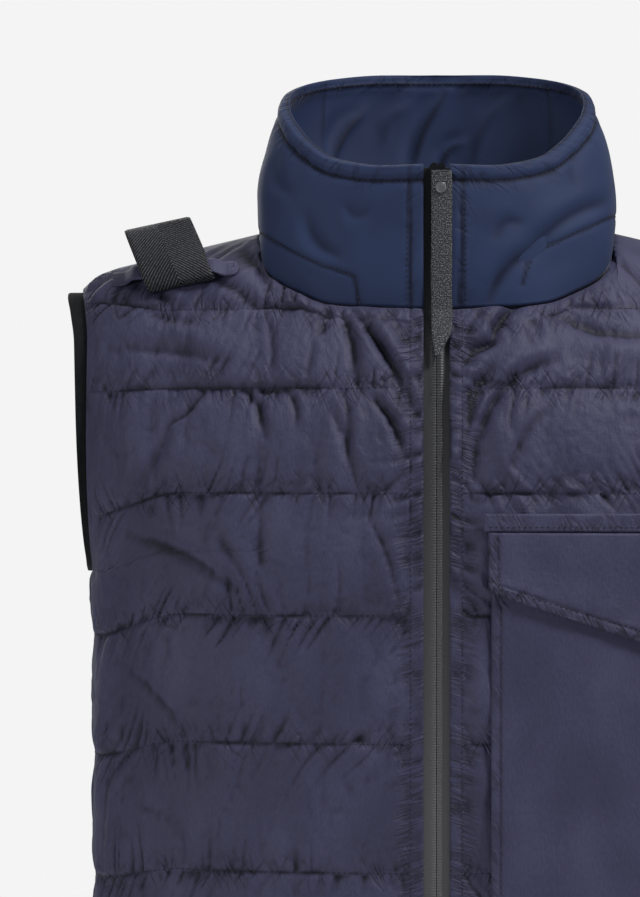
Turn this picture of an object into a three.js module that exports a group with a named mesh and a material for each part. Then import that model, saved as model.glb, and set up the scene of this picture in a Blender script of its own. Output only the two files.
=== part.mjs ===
// Quilted vest, filled out and hollow: stand collar, centre-front zip, bound armholes,
// a patch pocket with a slanting flap, and a webbing ring on one shoulder.
// Millimetres. +Z is up, the front faces -Y and +X is the wearer's left. The origin lies in
// the middle, at the height of the neck points, where the shoulders of a wearer carry it.

import * as THREE from 'three';

// Driving sizes of the body
const SECTION_POWER = 2.4;
const SHOULDER_RIDGE_Y = 8;
const SHOULDER_TOP = 20.2;
const SHOULDER_SLOPE = 0.245;
const SHOULDER_ROUNDING = 30;
const SHOULDER_END = { from: 185, span: 22, drop: 7 };
const SHOULDER_REACH = 207;
const ROLL_OFF = { front: 170, back: 185 };
const UNDERARM_Z = -197;
const ARMHOLE_MIDDLE_Z = -110;
const ARMHOLE_HALF_DEPTH = 66;
const NECK_HALF_WIDTH = 103.3;

// Driving sizes of the cloth
const SEAM_GAP = 0.3;
const WALL = 3;
const EDGE_WALL = 2;
const PUFF = 3;
const CLEAR_OF_PUFF = 0.5;
const LAYER_GAP = 0.4;
const SIDE_SEAM_FILL = 0.75;
const ARMHOLE_EASE = 9;
const SIDE_SEAM_EASE = 6;
const UNDERARM_EASE = 8;
const ZIP_EASE = 14;
const ZIP_WALL_EASE = 12;
const FOLD_FADE = 1.4;
const DEEPEST_SHARE = 0.3;
const FILL_POWER = 0.6;
const AT_UNDERARM = 0.5;
const AT_NECK_POINT = 0.01;
const ZIP_EDGE_X = 7.3;
const ZIP_STITCH_X = 14.5;
const HEM_Z = -652;

// How far the body reaches sideways, forwards and backwards at each height
const BODY = [
  { z: -652, side: 195, front: 106, back: 104 },
  { z: -500, side: 198, front: 110, back: 99 },
  { z: -372, side: 199, front: 113, back: 97 },
  { z: -290, side: 199.5, front: 116, back: 102 },
  { z: -197, side: 200, front: 118, back: 109 },
  { z: -110, side: 201, front: 118, back: 112 },
  { z: -62, side: 201.8, front: 118, back: 112 },
  { z: -43, side: 204.4, front: 118, back: 112 },
  { z: -31, side: 207, front: 118, back: 112 },
  { z: 40, side: 207, front: 118, back: 112 },
];

// Height of the neck seam by the angle round the neck, from centre front to centre back
const NECK = [
  { angle: 0, z: -47 },
  { angle: 14, z: -45.7 },
  { angle: 25, z: -45 },
  { angle: 37, z: -43 },
  { angle: 51, z: -36 },
  { angle: 64, z: -29 },
  { angle: 76, z: -20 },
  { angle: 84, z: -9 },
  { angle: 90, z: 1.2 },
  { angle: 110, z: 5 },
  { angle: 140, z: 9 },
  { angle: 180, z: 11 },
];

// Height of each quilting line at centre front, at the side and at centre back
const QUILT_LINES = [
  { front: -45.5, side: -40.6, back: -34 },
  { front: -91, side: -92.6, back: -92 },
  { front: -150, side: -164, back: -158 },
  { front: -218.6, side: -233, back: -230 },
  { front: -290.5, side: -302, back: -301 },
  { front: -362.9, side: -372, back: -372 },
  { front: -435, side: -443, back: -443 },
  { front: -507, side: -513, back: -513 },
  { front: -579, side: -583, back: -583 },
  { front: -630, side: -630, back: -630 },
  { front: HEM_Z, side: HEM_Z, back: HEM_Z },
];
const DROOP_START = 0.72;
const TOP_LINE_CLEARANCE = 8;
const TOP_LINE_FADE = { from: 62, to: 84 };

// Where the rows of points lie between two quilting lines
const CHANNEL_ROWS = [0, 0.2, 0.5, 0.8];
const UNDERARM_ROWS = [0, 0.15, 0.32, 0.478, 0.75];
const YOKE_ROWS = [0, 0.1, 0.3, 0.55, 0.8];
const HEM_CHANNEL_ROWS = [0, 0.25, 0.75];
const HEM_ROWS = [0, 0.5];
const UNDERARM_CHANNEL = 3;

// Deepest folds of each front, from one end to the other, x measured away from the zip
const FOLDS_RIGHT = [
  { x0: 63, z0: -44, x1: 66, z1: -62, width: 9, depth: 1.6 },
  { x0: 54, z0: -48, x1: 46, z1: -86, width: 10, depth: 2 },
  { x0: 44, z0: -52, x1: 15, z1: -98, width: 9, depth: 3 },
  { x0: 34, z0: -98, x1: 19, z1: -126, width: 9, depth: 2.2 },
  { x0: 168, z0: -176, x1: 112, z1: -204, width: 11, depth: 1.4 },
  { x0: 178, z0: -70, x1: 120, z1: -78, width: 12, depth: 1.2 },
];
const FOLDS_LEFT = [
  { x0: 50, z0: -40, x1: 30, z1: -66, width: 9, depth: 2.4 },
  { x0: 32, z0: -66, x1: 15, z1: -78, width: 9, depth: 2.4 },
  { x0: 30, z0: -86, x1: 15, z1: -112, width: 9, depth: 2.6 },
  { x0: 72, z0: -52, x1: 118, z1: -62, width: 11, depth: 1.6 },
  { x0: 178, z0: -176, x1: 130, z1: -152, width: 12, depth: 1.2 },
];

// Collar
const COLLAR = {
  wall: 3.6,
  rimWall: 5.2,
  rimHalfWidth: 89,
  rimCentreY: -23,
  rimFrontDepth: 68,
  rimBackDepth: 68,
  zipWall: 2.2,
  zipThinning: { from: 9, to: 26 },
  bulge: 6,
  frontBulge: 1.5,
  seamLift: 0.8,
  seamInset: 0.9,
  sections: 44,
  rimFrom: 0.9,
  topInsideShare: 0.75,
  proudInsideShare: 0.4,
};
const COLLAR_RIM = [
  { angle: 0, z: 36 },
  { angle: 20, z: 35.5 },
  { angle: 41, z: 40 },
  { angle: 57, z: 51 },
  { angle: 70, z: 62 },
  { angle: 86, z: 73 },
  { angle: 105, z: 84 },
  { angle: 135, z: 93.2 },
  { angle: 158, z: 96.5 },
  { angle: 180, z: 97 },
];
// Rows of the collar from its seam to its rim, and how proud each one stands
const COLLAR_ROWS = [
  { share: 0, proud: 0 },
  { share: 0.16, proud: 0.5 },
  { share: 0.34, proud: 0.6 },
  { share: 0.52, proud: 0.6 },
  { share: 0.7, proud: 0.5 },
  { share: 0.84, proud: 0 },
  { share: 0.93, proud: 1 },
  { share: 0.985, proud: 1 },
  { share: 1, proud: -0.9 },
];
const COLLAR_DENT = { x: 62, z: -18, width: 16, depth: 3.2 };

// Zip, slider and puller
const ZIP = {
  top: 34,
  bottom: HEM_Z + 3,
  tapeHalf: 13.6,
  chainHalf: 3,
  chainRaise: 0.7,
  chainEdge: { inside: 0.2, outside: 0.3 },
  thickness: 1.1,
  gap: 0.15,
  inset: 3.2,
  collarInset: 5.6,
  dip: { from: 30, to: 6 },
};
const ZIP_STEPS = { fine: 12, fineEnd: -122, coarse: 40, shortest: 1 };
const COIL = { halfWidth: 2.6, depth: 1.6, taper: 0.6 };
const RIBBON = { left: -3.1, right: 8.7, top: 32, bottom: -72.6, thickness: 1.8, clearance: 2.1 };
const RIBBON_STEPS = [0, 0.08, 0.2, 0.32, 0.44, 0.56, 0.66, 0.76, 0.85, 0.93, 1];
const RIBBON_TAPER = { from: 0.82, to: 0.9, left: 0.48, right: 2.56 };
const SNAP = { x: 2.5, z: 22.2, radius: 3, height: 1.2, rim: 0.4, crown: 0.2, lift: 0.4 };
const SLIDER = {
  middleX: 0.6,
  halfWidth: 4.4,
  top: 36.3,
  bottom: 20,
  front: -1.6,
  back: 4.3,
  lobe: 2.4,
  notchShare: 0.8,
};

// Chest pocket on the wearer's left
const POCKET = { inner: 30.4, outer: 165, top: -170.5, bottom: -405, thickness: 1.6 };
const FLAP = { inner: 28.6, outer: 168, top: -172, innerDrop: 33, slope: 0.34, thickness: 1.8 };
const WELT = { inner: 26, outer: 170, top: -161.3, bottom: -171.4, thickness: 1.8 };

// Armhole bands
const BAND = { tuck: 4, thickness: 1.8, gap: 0.4, topWidth: 9, bottomWidth: 3.2 };

// Webbing ring and the strip that holds it, on the wearer's right shoulder. The path runs
// once round the ring as seen from the side.
const RING = { middleX: 146.6, width: 38.5, thickness: 2, lean: 0.44, slope: 0.2, skew: 0.22, footZ: -30 };
const RING_PATH = [
  { y: -44, z: -24.2 },
  { y: -50, z: -29.7 },
  { y: -53.5, z: -30.7 },
  { y: -55.5, z: -27.4 },
  { y: -53.3, z: -20.7 },
  { y: -46, z: -10.4 },
  { y: -36.8, z: -1 },
  { y: -30.2, z: 3.8 },
  { y: -24.5, z: 4.3 },
  { y: -21.8, z: 0.7 },
  { y: -22.6, z: -8.6 },
  { y: -30.3, z: -15.1 },
];
const KEEPER = {
  inner: 112.3,
  outer: 186,
  middle: -24.4,
  drop: 0.08,
  width: 7.6,
  thickness: 1.4,
  overRing: 3.6,
  ramp: 8,
  pastRing: 6,
};

const lerp = THREE.MathUtils.lerp;
const smoothstep = THREE.MathUtils.smoothstep;
const degrees = THREE.MathUtils.radToDeg;
const radians = THREE.MathUtils.degToRad;

// Materials, one function for each finish
function shellCloth() {
  return new THREE.MeshStandardMaterial({ color: 0x30324a, roughness: 0.62, metalness: 0 });
}

function collarCloth() {
  return new THREE.MeshStandardMaterial({ color: 0x2a3654, roughness: 0.8, metalness: 0 });
}

function bandCloth() {
  return new THREE.MeshStandardMaterial({ color: 0x1d2022, roughness: 0.9, metalness: 0 });
}

function coatedTape() {
  return new THREE.MeshStandardMaterial({ color: 0x343638, roughness: 0.45, metalness: 0 });
}

function ribbonCloth() {
  return new THREE.MeshStandardMaterial({ color: 0x2b2d30, roughness: 0.85, metalness: 0 });
}

function darkMetal() {
  return new THREE.MeshStandardMaterial({ color: 0x55585c, roughness: 0.35, metalness: 1 });
}

function webbingCloth() {
  return new THREE.MeshStandardMaterial({ color: 0x18191b, roughness: 0.8, metalness: 0 });
}

// A value of a table at a key, along a smooth line through the rows that never overshoots
function readTable(table, keyName, valueName, key) {
  const last = table.length - 1;
  if (key <= table[0][keyName]) return table[0][valueName];
  if (key >= table[last][keyName]) return table[last][valueName];
  let k = 0;
  while (key > table[k + 1][keyName]) k += 1;
  const slopeOf = (a) => {
    const run = table[a + 1][keyName] - table[a][keyName];
    return (table[a + 1][valueName] - table[a][valueName]) / run;
  };
  const blendSlopes = (a, b) => (a * b <= 0 ? 0 : (2 * a * b) / (a + b));
  const here = slopeOf(k);
  const before = k > 0 ? blendSlopes(slopeOf(k - 1), here) : here;
  const after = k < last - 1 ? blendSlopes(here, slopeOf(k + 1)) : here;
  const run = table[k + 1][keyName] - table[k][keyName];
  const t = (key - table[k][keyName]) / run;
  const start = table[k][valueName];
  const end = table[k + 1][valueName];
  const bend = t * t * (3 - 2 * t);
  const startPart = t * (1 - t) * (1 - t) * run * before;
  const endPart = t * t * (t - 1) * run * after;
  return start + (end - start) * bend + startPart + endPart;
}

// Shape of the body

function bodySide(z) {
  return readTable(BODY, 'z', 'side', z);
}

function shoulderHeight(x) {
  const end = Math.max(0, (x - SHOULDER_END.from) / SHOULDER_END.span);
  const run = Math.hypot(x, SHOULDER_ROUNDING) - SHOULDER_ROUNDING;
  return SHOULDER_TOP - SHOULDER_SLOPE * run - SHOULDER_END.drop * end * end;
}

// How far the armhole edge lies in front of or behind the side, before the shoulder rolls off
function armholeDepth(z) {
  if (z <= UNDERARM_Z) return 0;
  if (z >= ARMHOLE_MIDDLE_Z) return ARMHOLE_HALF_DEPTH;
  const share = (ARMHOLE_MIDDLE_Z - z) / (ARMHOLE_MIDDLE_Z - UNDERARM_Z);
  return ARMHOLE_HALF_DEPTH * Math.sqrt(1 - share * share);
}

// The depth of the body at x and z, as one point of a flattened ellipse that rolls off
// towards the shoulder line. The face is 'front' or 'back', and x is never negative.
function bodyDepth(face, x, z) {
  const depth = readTable(BODY, 'z', face, z);
  const side = bodySide(z);
  const open = (armholeDepth(z) / depth) ** SECTION_POWER;
  const reach = side / (1 - open) ** (1 / SECTION_POWER);
  const round = Math.max(0, 1 - (x / reach) ** SECTION_POWER) ** (1 / SECTION_POWER);
  const below = Math.max(0, shoulderHeight(x) - z) / ROLL_OFF[face];
  const roll = Math.sqrt(1 - (1 - Math.min(1, below)) ** 2);
  const outward = face === 'front' ? -1 : 1;
  return SHOULDER_RIDGE_Y * (1 - roll) + outward * depth * round * roll;
}

function neckAngleHeight(angle) {
  return readTable(NECK, 'angle', 'z', angle);
}

// The upper edge of a panel: the neck seam near the middle, then the shoulder line
function topEdge(face, x) {
  if (x >= NECK_HALF_WIDTH) return shoulderHeight(x);
  const angle = degrees(Math.asin(x / NECK_HALF_WIDTH));
  const height = neckAngleHeight(face === 'front' ? angle : 180 - angle);
  return Math.min(height, shoulderHeight(x));
}

function quiltLine(face, index, x, side) {
  const line = QUILT_LINES[index];
  const droop = smoothstep(x / side, DROOP_START, 1);
  const height = lerp(line[face], line.side, droop);
  if (index > 0) return height;
  return Math.min(height, topEdge(face, x) - TOP_LINE_CLEARANCE);
}

// Rows of a panel from its top edge to its hem. A row lies between two quilting lines,
// and line -1 stands for the top edge.
function panelRows() {
  const rows = YOKE_ROWS.map((share) => ({ upper: -1, share }));
  for (let k = 1; k < QUILT_LINES.length; k += 1) {
    let shares = CHANNEL_ROWS;
    if (k === UNDERARM_CHANNEL) shares = UNDERARM_ROWS;
    if (k === QUILT_LINES.length - 2) shares = HEM_CHANNEL_ROWS;
    if (k === QUILT_LINES.length - 1) shares = HEM_ROWS;
    for (const share of shares) rows.push({ upper: k - 1, share });
  }
  rows.push({ upper: QUILT_LINES.length - 2, share: 1 });
  return rows;
}
const ROWS = panelRows();

function rowSideHeight(row) {
  const upper = row.upper < 0 ? shoulderHeight(SHOULDER_REACH) : QUILT_LINES[row.upper].side;
  return lerp(upper, QUILT_LINES[row.upper + 1].side, row.share);
}

function rowHeight(face, row, x, side) {
  const upper = row.upper < 0 ? topEdge(face, x) : quiltLine(face, row.upper, x, side);
  return lerp(upper, quiltLine(face, row.upper + 1, x, side), row.share);
}

// How full a quilted channel is, 0 on its lines and 1 in its middle
function channelFill(share) {
  return (4 * share * (1 - share)) ** FILL_POWER;
}

// The first line stops at the neck seam. Closer to the zip, the two channels are one.
function rowFill(face, row, x, z, side) {
  const fill = channelFill(row.share);
  if (row.upper > 0) return fill;
  const upper = topEdge(face, x);
  const joined = channelFill((upper - z) / (upper - quiltLine(face, 1, x, side)));
  return lerp(joined, fill, smoothstep(x, TOP_LINE_FADE.from, TOP_LINE_FADE.to));
}

function foldDepth(folds, x, z) {
  let depth = 0;
  for (const fold of folds) {
    const dx = fold.x1 - fold.x0;
    const dz = fold.z1 - fold.z0;
    const along = ((x - fold.x0) * dx + (z - fold.z0) * dz) / (dx * dx + dz * dz);
    const near = Math.min(1, Math.max(0, along));
    const away = Math.hypot(x - fold.x0 - near * dx, z - fold.z0 - near * dz);
    depth += fold.depth * Math.exp(-((away / fold.width) ** 2));
  }
  return depth;
}

// How far the outer face stands out of the plain body surface
function puffAt(face, row, x, z, side, folds) {
  const away = side - x;
  const armhole = smoothstep(away, 0, ARMHOLE_EASE);
  const seam = lerp(SIDE_SEAM_FILL, 1, smoothstep(away, 0, SIDE_SEAM_EASE));
  const raised = smoothstep(z, UNDERARM_Z - UNDERARM_EASE, UNDERARM_Z + UNDERARM_EASE);
  let fill = rowFill(face, row, x, z, side) * lerp(seam, armhole, raised);
  if (face === 'front') fill *= smoothstep(x, ZIP_STITCH_X, ZIP_STITCH_X + ZIP_EASE);
  const puff = PUFF * fill - foldDepth(folds, x, z) * Math.min(1, fill * FOLD_FADE);
  return Math.max(-EDGE_WALL * DEEPEST_SHARE, puff);
}

// Places across a panel, from its inner edge to the side, closer together at the neck
// point and at the side, where the cloth turns
function panelColumns(start, neckSteps, sideSteps) {
  const neck = (NECK_HALF_WIDTH - start) / (SHOULDER_REACH - start);
  const columns = [];
  for (let k = 0; k < neckSteps; k += 1) {
    columns.push(neck * Math.sin((Math.PI / 2) * (k / neckSteps)));
  }
  for (let k = 0; k <= sideSteps; k += 1) {
    columns.push(neck + (1 - neck) * Math.sin((Math.PI / 2) * (k / sideSteps)));
  }
  return columns;
}

// Closed meshes

function meshFrom(name, material, points, triangles) {
  let volume = 0;
  for (const [a, b, c] of triangles) {
    volume += points[a].dot(new THREE.Vector3().crossVectors(points[b], points[c]));
  }
  const turned = volume < 0 ? triangles.map(([a, b, c]) => [a, c, b]) : triangles;
  const geometry = new THREE.BufferGeometry();
  const numbers = points.flatMap((p) => [p.x, p.y, p.z]);
  geometry.setAttribute('position', new THREE.Float32BufferAttribute(numbers, 3));
  geometry.setIndex(turned.flat());
  geometry.computeVertexNormals();
  const mesh = new THREE.Mesh(geometry, material);
  mesh.name = name;
  return mesh;
}

// A wall between two grids of points with the same rows and columns
function wallMesh(name, material, outer, inner) {
  const rows = outer.length;
  const columns = outer[0].length;
  const points = [...outer.flat(), ...inner.flat()];
  const front = (j, i) => j * columns + i;
  const rear = (j, i) => (rows + j) * columns + i;
  const triangles = [];
  const quad = (a, b, c, d) => triangles.push([a, b, c], [a, c, d]);
  for (let j = 0; j < rows - 1; j += 1) {
    for (let i = 0; i < columns - 1; i += 1) {
      quad(front(j, i), front(j, i + 1), front(j + 1, i + 1), front(j + 1, i));
      quad(rear(j, i), rear(j + 1, i), rear(j + 1, i + 1), rear(j, i + 1));
    }
    const last = columns - 1;
    quad(front(j, 0), front(j + 1, 0), rear(j + 1, 0), rear(j, 0));
    quad(front(j, last), rear(j, last), rear(j + 1, last), front(j + 1, last));
  }
  for (let i = 0; i < columns - 1; i += 1) {
    const last = rows - 1;
    quad(front(0, i), rear(0, i), rear(0, i + 1), front(0, i + 1));
    quad(front(last, i), front(last, i + 1), rear(last, i + 1), rear(last, i));
  }
  return meshFrom(name, material, points, triangles);
}

// A closed ring of closed sections, each with the same number of points
function ringMesh(name, material, sections) {
  const size = sections[0].length;
  const triangles = [];
  for (let k = 0; k < sections.length; k += 1) {
    const next = (k + 1) % sections.length;
    for (let m = 0; m < size; m += 1) {
      const turn = (m + 1) % size;
      const a = k * size + m;
      const b = k * size + turn;
      const c = next * size + turn;
      const d = next * size + m;
      triangles.push([a, b, c], [a, c, d]);
    }
  }
  return meshFrom(name, material, sections.flat(), triangles);
}

// Normals of a grid of points, from its neighbours, pointing away from the body's middle
function gridNormals(grid, faceSign) {
  const rows = grid.length;
  const columns = grid[0].length;
  return grid.map((line, j) => line.map((point, i) => {
    const along = new THREE.Vector3().subVectors(
      line[Math.min(columns - 1, i + 1)],
      line[Math.max(0, i - 1)],
    );
    const down = new THREE.Vector3().subVectors(
      grid[Math.min(rows - 1, j + 1)][i],
      grid[Math.max(0, j - 1)][i],
    );
    return new THREE.Vector3().crossVectors(along, down).multiplyScalar(faceSign).normalize();
  }));
}

function flatten(vector, axis) {
  vector[axis] = 0;
  return vector.normalize();
}

function offsetPoint(point, direction, distance) {
  return point.clone().addScaledVector(direction, distance);
}

function mirrored(point, sign) {
  return new THREE.Vector3(sign * point.x, point.y, point.z);
}

// One quarter of the body from the middle to the side: plain points, rows and depths
function quarterPoints(face, columns, start, fixed) {
  const sign = face === 'front' ? -1 : 1;
  return ROWS.map((row, j) => {
    const side = bodySide(rowSideHeight(row));
    const places = [...fixed, ...columns.map((share) => start + (side - start) * share)];
    return places.map((x, i) => {
      const z = rowHeight(face, row, x, side);
      const point = new THREE.Vector3(x, bodyDepth(face, x, z), z);
      const atSide = i === places.length - 1 && rowSideHeight(row) <= UNDERARM_Z + AT_UNDERARM;
      const atShoulder = j === 0 && x >= NECK_HALF_WIDTH - AT_NECK_POINT;
      if (atSide) point.y = sign * SEAM_GAP * 0.5;
      if (atShoulder) point.y = SHOULDER_RIDGE_Y + sign * SEAM_GAP * 0.5;
      return point;
    });
  });
}

function seamNormals(face, grid, zipEdge) {
  const normals = gridNormals(grid, face === 'front' ? -1 : 1);
  grid.forEach((line, j) => {
    const last = line.length - 1;
    if (line[last].z <= UNDERARM_Z + AT_UNDERARM) flatten(normals[j][last], 'y');
    if (j === grid.length - 1) normals[j].forEach((normal) => flatten(normal, 'z'));
    if (zipEdge) flatten(normals[j][0], 'x');
    if (j === 0) {
      line.forEach((point, i) => {
        if (point.x >= NECK_HALF_WIDTH - AT_NECK_POINT) flatten(normals[j][i], 'y');
      });
    }
  });
  return normals;
}

function wallAt(x, face) {
  if (face === 'back') return WALL;
  return lerp(EDGE_WALL, WALL, smoothstep(x, ZIP_STITCH_X, ZIP_STITCH_X + ZIP_WALL_EASE));
}

function wallGrids(face, grid, normals, folds) {
  const outer = grid.map((line, j) => {
    const side = bodySide(rowSideHeight(ROWS[j]));
    return line.map((p, i) => {
      const puff = puffAt(face, ROWS[j], p.x, p.z, side, folds);
      return offsetPoint(p, normals[j][i], puff);
    });
  });
  const inner = grid.map((line, j) => line.map((p, i) => {
    return offsetPoint(p, normals[j][i], -wallAt(p.x, face));
  }));
  return { outer, inner };
}

function frontGrids(folds) {
  const middleOfStrip = (ZIP_EDGE_X + ZIP_STITCH_X) / 2;
  const columns = panelColumns(ZIP_STITCH_X, 6, 9);
  const grid = quarterPoints('front', columns, ZIP_STITCH_X, [ZIP_EDGE_X, middleOfStrip]);
  return wallGrids('front', grid, seamNormals('front', grid, true), folds);
}

function makeFront(name, sign, folds) {
  const { outer, inner } = frontGrids(folds);
  const place = (grid) => grid.map((line) => line.map((p) => mirrored(p, sign)));
  return wallMesh(name, shellCloth(), place(outer), place(inner));
}

function backGrids() {
  const columns = panelColumns(0, 5, 8);
  const grid = quarterPoints('back', columns, 0, []);
  const normals = seamNormals('back', grid, true);
  return wallGrids('back', grid, normals, []);
}

function makeBack() {
  const { outer, inner } = backGrids();
  const whole = (grid) => grid.map((line) => {
    const other = line.slice(1).reverse().map((p) => mirrored(p, -1));
    return [...other, ...line];
  });
  return wallMesh('back', shellCloth(), whole(outer), whole(inner));
}

// Collar

function neckPoint(angle) {
  const x = NECK_HALF_WIDTH * Math.sin(radians(angle));
  const z = Math.min(neckAngleHeight(angle), shoulderHeight(x));
  const face = angle <= 90 ? 'front' : 'back';
  return new THREE.Vector3(x, bodyDepth(face, x, z), z);
}

function rimPoint(angle) {
  const turn = radians(angle);
  const depth = angle <= 90 ? COLLAR.rimFrontDepth : COLLAR.rimBackDepth;
  const x = COLLAR.rimHalfWidth * Math.sin(turn);
  const y = COLLAR.rimCentreY - depth * Math.cos(turn);
  return new THREE.Vector3(x, y, readTable(COLLAR_RIM, 'angle', 'z', angle));
}

function startAngle(halfWidth) {
  return degrees(Math.asin(ZIP_EDGE_X / halfWidth));
}

// Points of the collar's outer face at one place round it, from the seam to the rim
function collarColumn(share) {
  const base = neckPoint(lerp(startAngle(NECK_HALF_WIDTH), 180, share));
  const rim = rimPoint(lerp(startAngle(COLLAR.rimHalfWidth), 180, share));
  const outward = new THREE.Vector3(base.x, base.y - COLLAR.rimCentreY, 0).normalize();
  const bulge = lerp(COLLAR.frontBulge, COLLAR.bulge, Math.abs(outward.x) ** 3);
  base.addScaledVector(outward, -COLLAR.seamInset);
  base.z += COLLAR.seamLift;
  return COLLAR_ROWS.map((row) => {
    const point = new THREE.Vector3().lerpVectors(base, rim, row.share);
    point.addScaledVector(outward, 4 * bulge * row.share * (1 - row.share));
    return { point, outward, row };
  });
}

function collarDent(point) {
  const away = Math.hypot(point.x - COLLAR_DENT.x, point.z - COLLAR_DENT.z) / COLLAR_DENT.width;
  return point.y < COLLAR.rimCentreY ? COLLAR_DENT.depth * Math.exp(-away * away) : 0;
}

function makeCollar() {
  const outer = [];
  const inner = [];
  for (let k = 0; k <= COLLAR.sections; k += 1) {
    const around = (2 * k) / COLLAR.sections;
    const sign = around <= 1 ? -1 : 1;
    const column = collarColumn(around <= 1 ? around : 2 - around);
    const outerLine = [];
    const innerLine = [];
    for (const { point, outward, row } of column) {
      const direction = outward.clone();
      if (k === 0 || k === COLLAR.sections) flatten(direction, 'x');
      const place = mirrored(point, sign);
      direction.x *= sign;
      const full = smoothstep(Math.abs(place.x), COLLAR.zipThinning.from, COLLAR.zipThinning.to);
      const whole = row.share > COLLAR.rimFrom ? COLLAR.rimWall : COLLAR.wall;
      const wall = lerp(COLLAR.zipWall, whole, full);
      const topInside = wall * COLLAR.topInsideShare;
      const inside = row.share === 1 ? topInside : wall - row.proud * COLLAR.proudInsideShare;
      outerLine.push(offsetPoint(place, direction, row.proud - collarDent(place)));
      innerLine.push(offsetPoint(place, direction, -inside));
    }
    outer.push(outerLine);
    inner.push(innerLine);
  }
  return wallMesh('collar', collarCloth(), outer, inner);
}

// Zip

// The centre-front line of the garment, on the collar above the neck seam
function centreFront(z) {
  const seam = neckPoint(0);
  if (z <= seam.z) return bodyDepth('front', 0, z);
  const rim = rimPoint(0);
  return lerp(seam.y, rim.y, Math.min(1, (z - seam.z) / (rim.z - seam.z)));
}

function zipHeights() {
  const heights = [];
  const last = ZIP.bottom + ZIP_STEPS.shortest;
  for (let z = ZIP.top; z > ZIP_STEPS.fineEnd; z -= ZIP_STEPS.fine) heights.push(z);
  for (let z = ZIP_STEPS.fineEnd; z > last; z -= ZIP_STEPS.coarse) heights.push(z);
  heights.push(ZIP.bottom);
  return heights;
}

// The tape's face lies under the folded edges of the fronts and the collar
function tapeFace(z) {
  const seam = neckPoint(0).z;
  const onCollar = smoothstep(z, seam - ZIP.dip.from, seam - ZIP.dip.to);
  return centreFront(z) + lerp(ZIP.inset, ZIP.collarInset, onCollar);
}

function makeZipTape(name, sign) {
  const places = [
    { x: ZIP.gap, raise: ZIP.chainRaise },
    { x: ZIP.chainHalf - ZIP.chainEdge.inside, raise: ZIP.chainRaise },
    { x: ZIP.chainHalf + ZIP.chainEdge.outside, raise: 0 },
    { x: ZIP.tapeHalf, raise: 0 },
  ];
  const outer = [];
  const inner = [];
  for (const z of zipHeights()) {
    const depth = tapeFace(z);
    outer.push(places.map((p) => new THREE.Vector3(sign * p.x, depth - p.raise, z)));
    inner.push(places.map((p) => new THREE.Vector3(sign * p.x, depth + ZIP.thickness, z)));
  }
  return wallMesh(name, coatedTape(), outer, inner);
}

function makeCoil() {
  const back = ZIP.thickness + SEAM_GAP;
  const line = (z, extra, half) => [-half, half].map((x) => {
    return new THREE.Vector3(x, tapeFace(z) + back + extra, z);
  });
  const heights = zipHeights();
  const outer = heights.map((z) => line(z, 0, COIL.halfWidth));
  const inner = heights.map((z) => line(z, COIL.depth, COIL.halfWidth - COIL.taper));
  return wallMesh('zip_coil', coatedTape(), outer, inner);
}

// The slider sits on the tapes between the collar's edges, with a crown of two lobes
function makeSlider() {
  const shape = new THREE.Shape();
  const { halfWidth, top, bottom, lobe } = SLIDER;
  shape.moveTo(-halfWidth, bottom);
  shape.lineTo(halfWidth, bottom);
  shape.lineTo(halfWidth, top - lobe);
  shape.absarc(halfWidth - lobe, top - lobe, lobe, 0, Math.PI * 0.75, false);
  shape.lineTo(0, top - lobe * SLIDER.notchShare);
  shape.absarc(lobe - halfWidth, top - lobe, lobe, Math.PI * 0.25, Math.PI, false);
  shape.closePath();
  const options = { depth: SLIDER.back - SLIDER.front, bevelEnabled: false, curveSegments: 6 };
  const geometry = new THREE.ExtrudeGeometry(shape, options);
  const mesh = new THREE.Mesh(geometry, darkMetal());
  mesh.name = 'zip_slider';
  mesh.rotation.x = Math.PI / 2;
  mesh.position.set(SLIDER.middleX, centreFront(SLIDER.top) + SLIDER.back, 0);
  return mesh;
}

function ribbonFace(z) {
  return centreFront(z) - RIBBON.clearance;
}

function makeRibbon() {
  const outer = [];
  const inner = [];
  for (const share of RIBBON_STEPS) {
    const z = lerp(RIBBON.top, RIBBON.bottom, share);
    const narrow = smoothstep(share, RIBBON_TAPER.from, RIBBON_TAPER.to);
    const left = RIBBON.left + narrow * RIBBON_TAPER.left;
    const right = RIBBON.right - narrow * RIBBON_TAPER.right;
    const y = ribbonFace(z);
    const line = (depth) => [left, right].map((x) => new THREE.Vector3(x, depth, z));
    outer.push(line(y - RIBBON.thickness));
    inner.push(line(y));
  }
  return wallMesh('puller_ribbon', ribbonCloth(), outer, inner);
}

function makeSnap() {
  const { radius, height, rim, crown } = SNAP;
  const profile = [
    new THREE.Vector2(0, 0),
    new THREE.Vector2(radius, 0),
    new THREE.Vector2(radius, height - rim),
    new THREE.Vector2(radius - rim, height),
    new THREE.Vector2(0, height + crown),
  ];
  const mesh = new THREE.Mesh(new THREE.LatheGeometry(profile, 20), darkMetal());
  mesh.name = 'puller_snap';
  mesh.rotation.x = Math.PI;
  mesh.position.set(SNAP.x, ribbonFace(SNAP.z) - RIBBON.thickness - SNAP.lift, SNAP.z);
  return mesh;
}

// Pieces that lie on a front

function frontNormal(x, z) {
  const step = 2;
  const dx = (bodyDepth('front', x + step, z) - bodyDepth('front', x - step, z)) / (2 * step);
  const dz = (bodyDepth('front', x, z + step) - bodyDepth('front', x, z - step)) / (2 * step);
  return new THREE.Vector3(dx, -1, dz).normalize();
}

// A point over the front panel, clear of its quilting
function overFront(x, z, distance) {
  const point = new THREE.Vector3(x, bodyDepth('front', x, z), z);
  return offsetPoint(point, frontNormal(x, z), distance);
}

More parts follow.
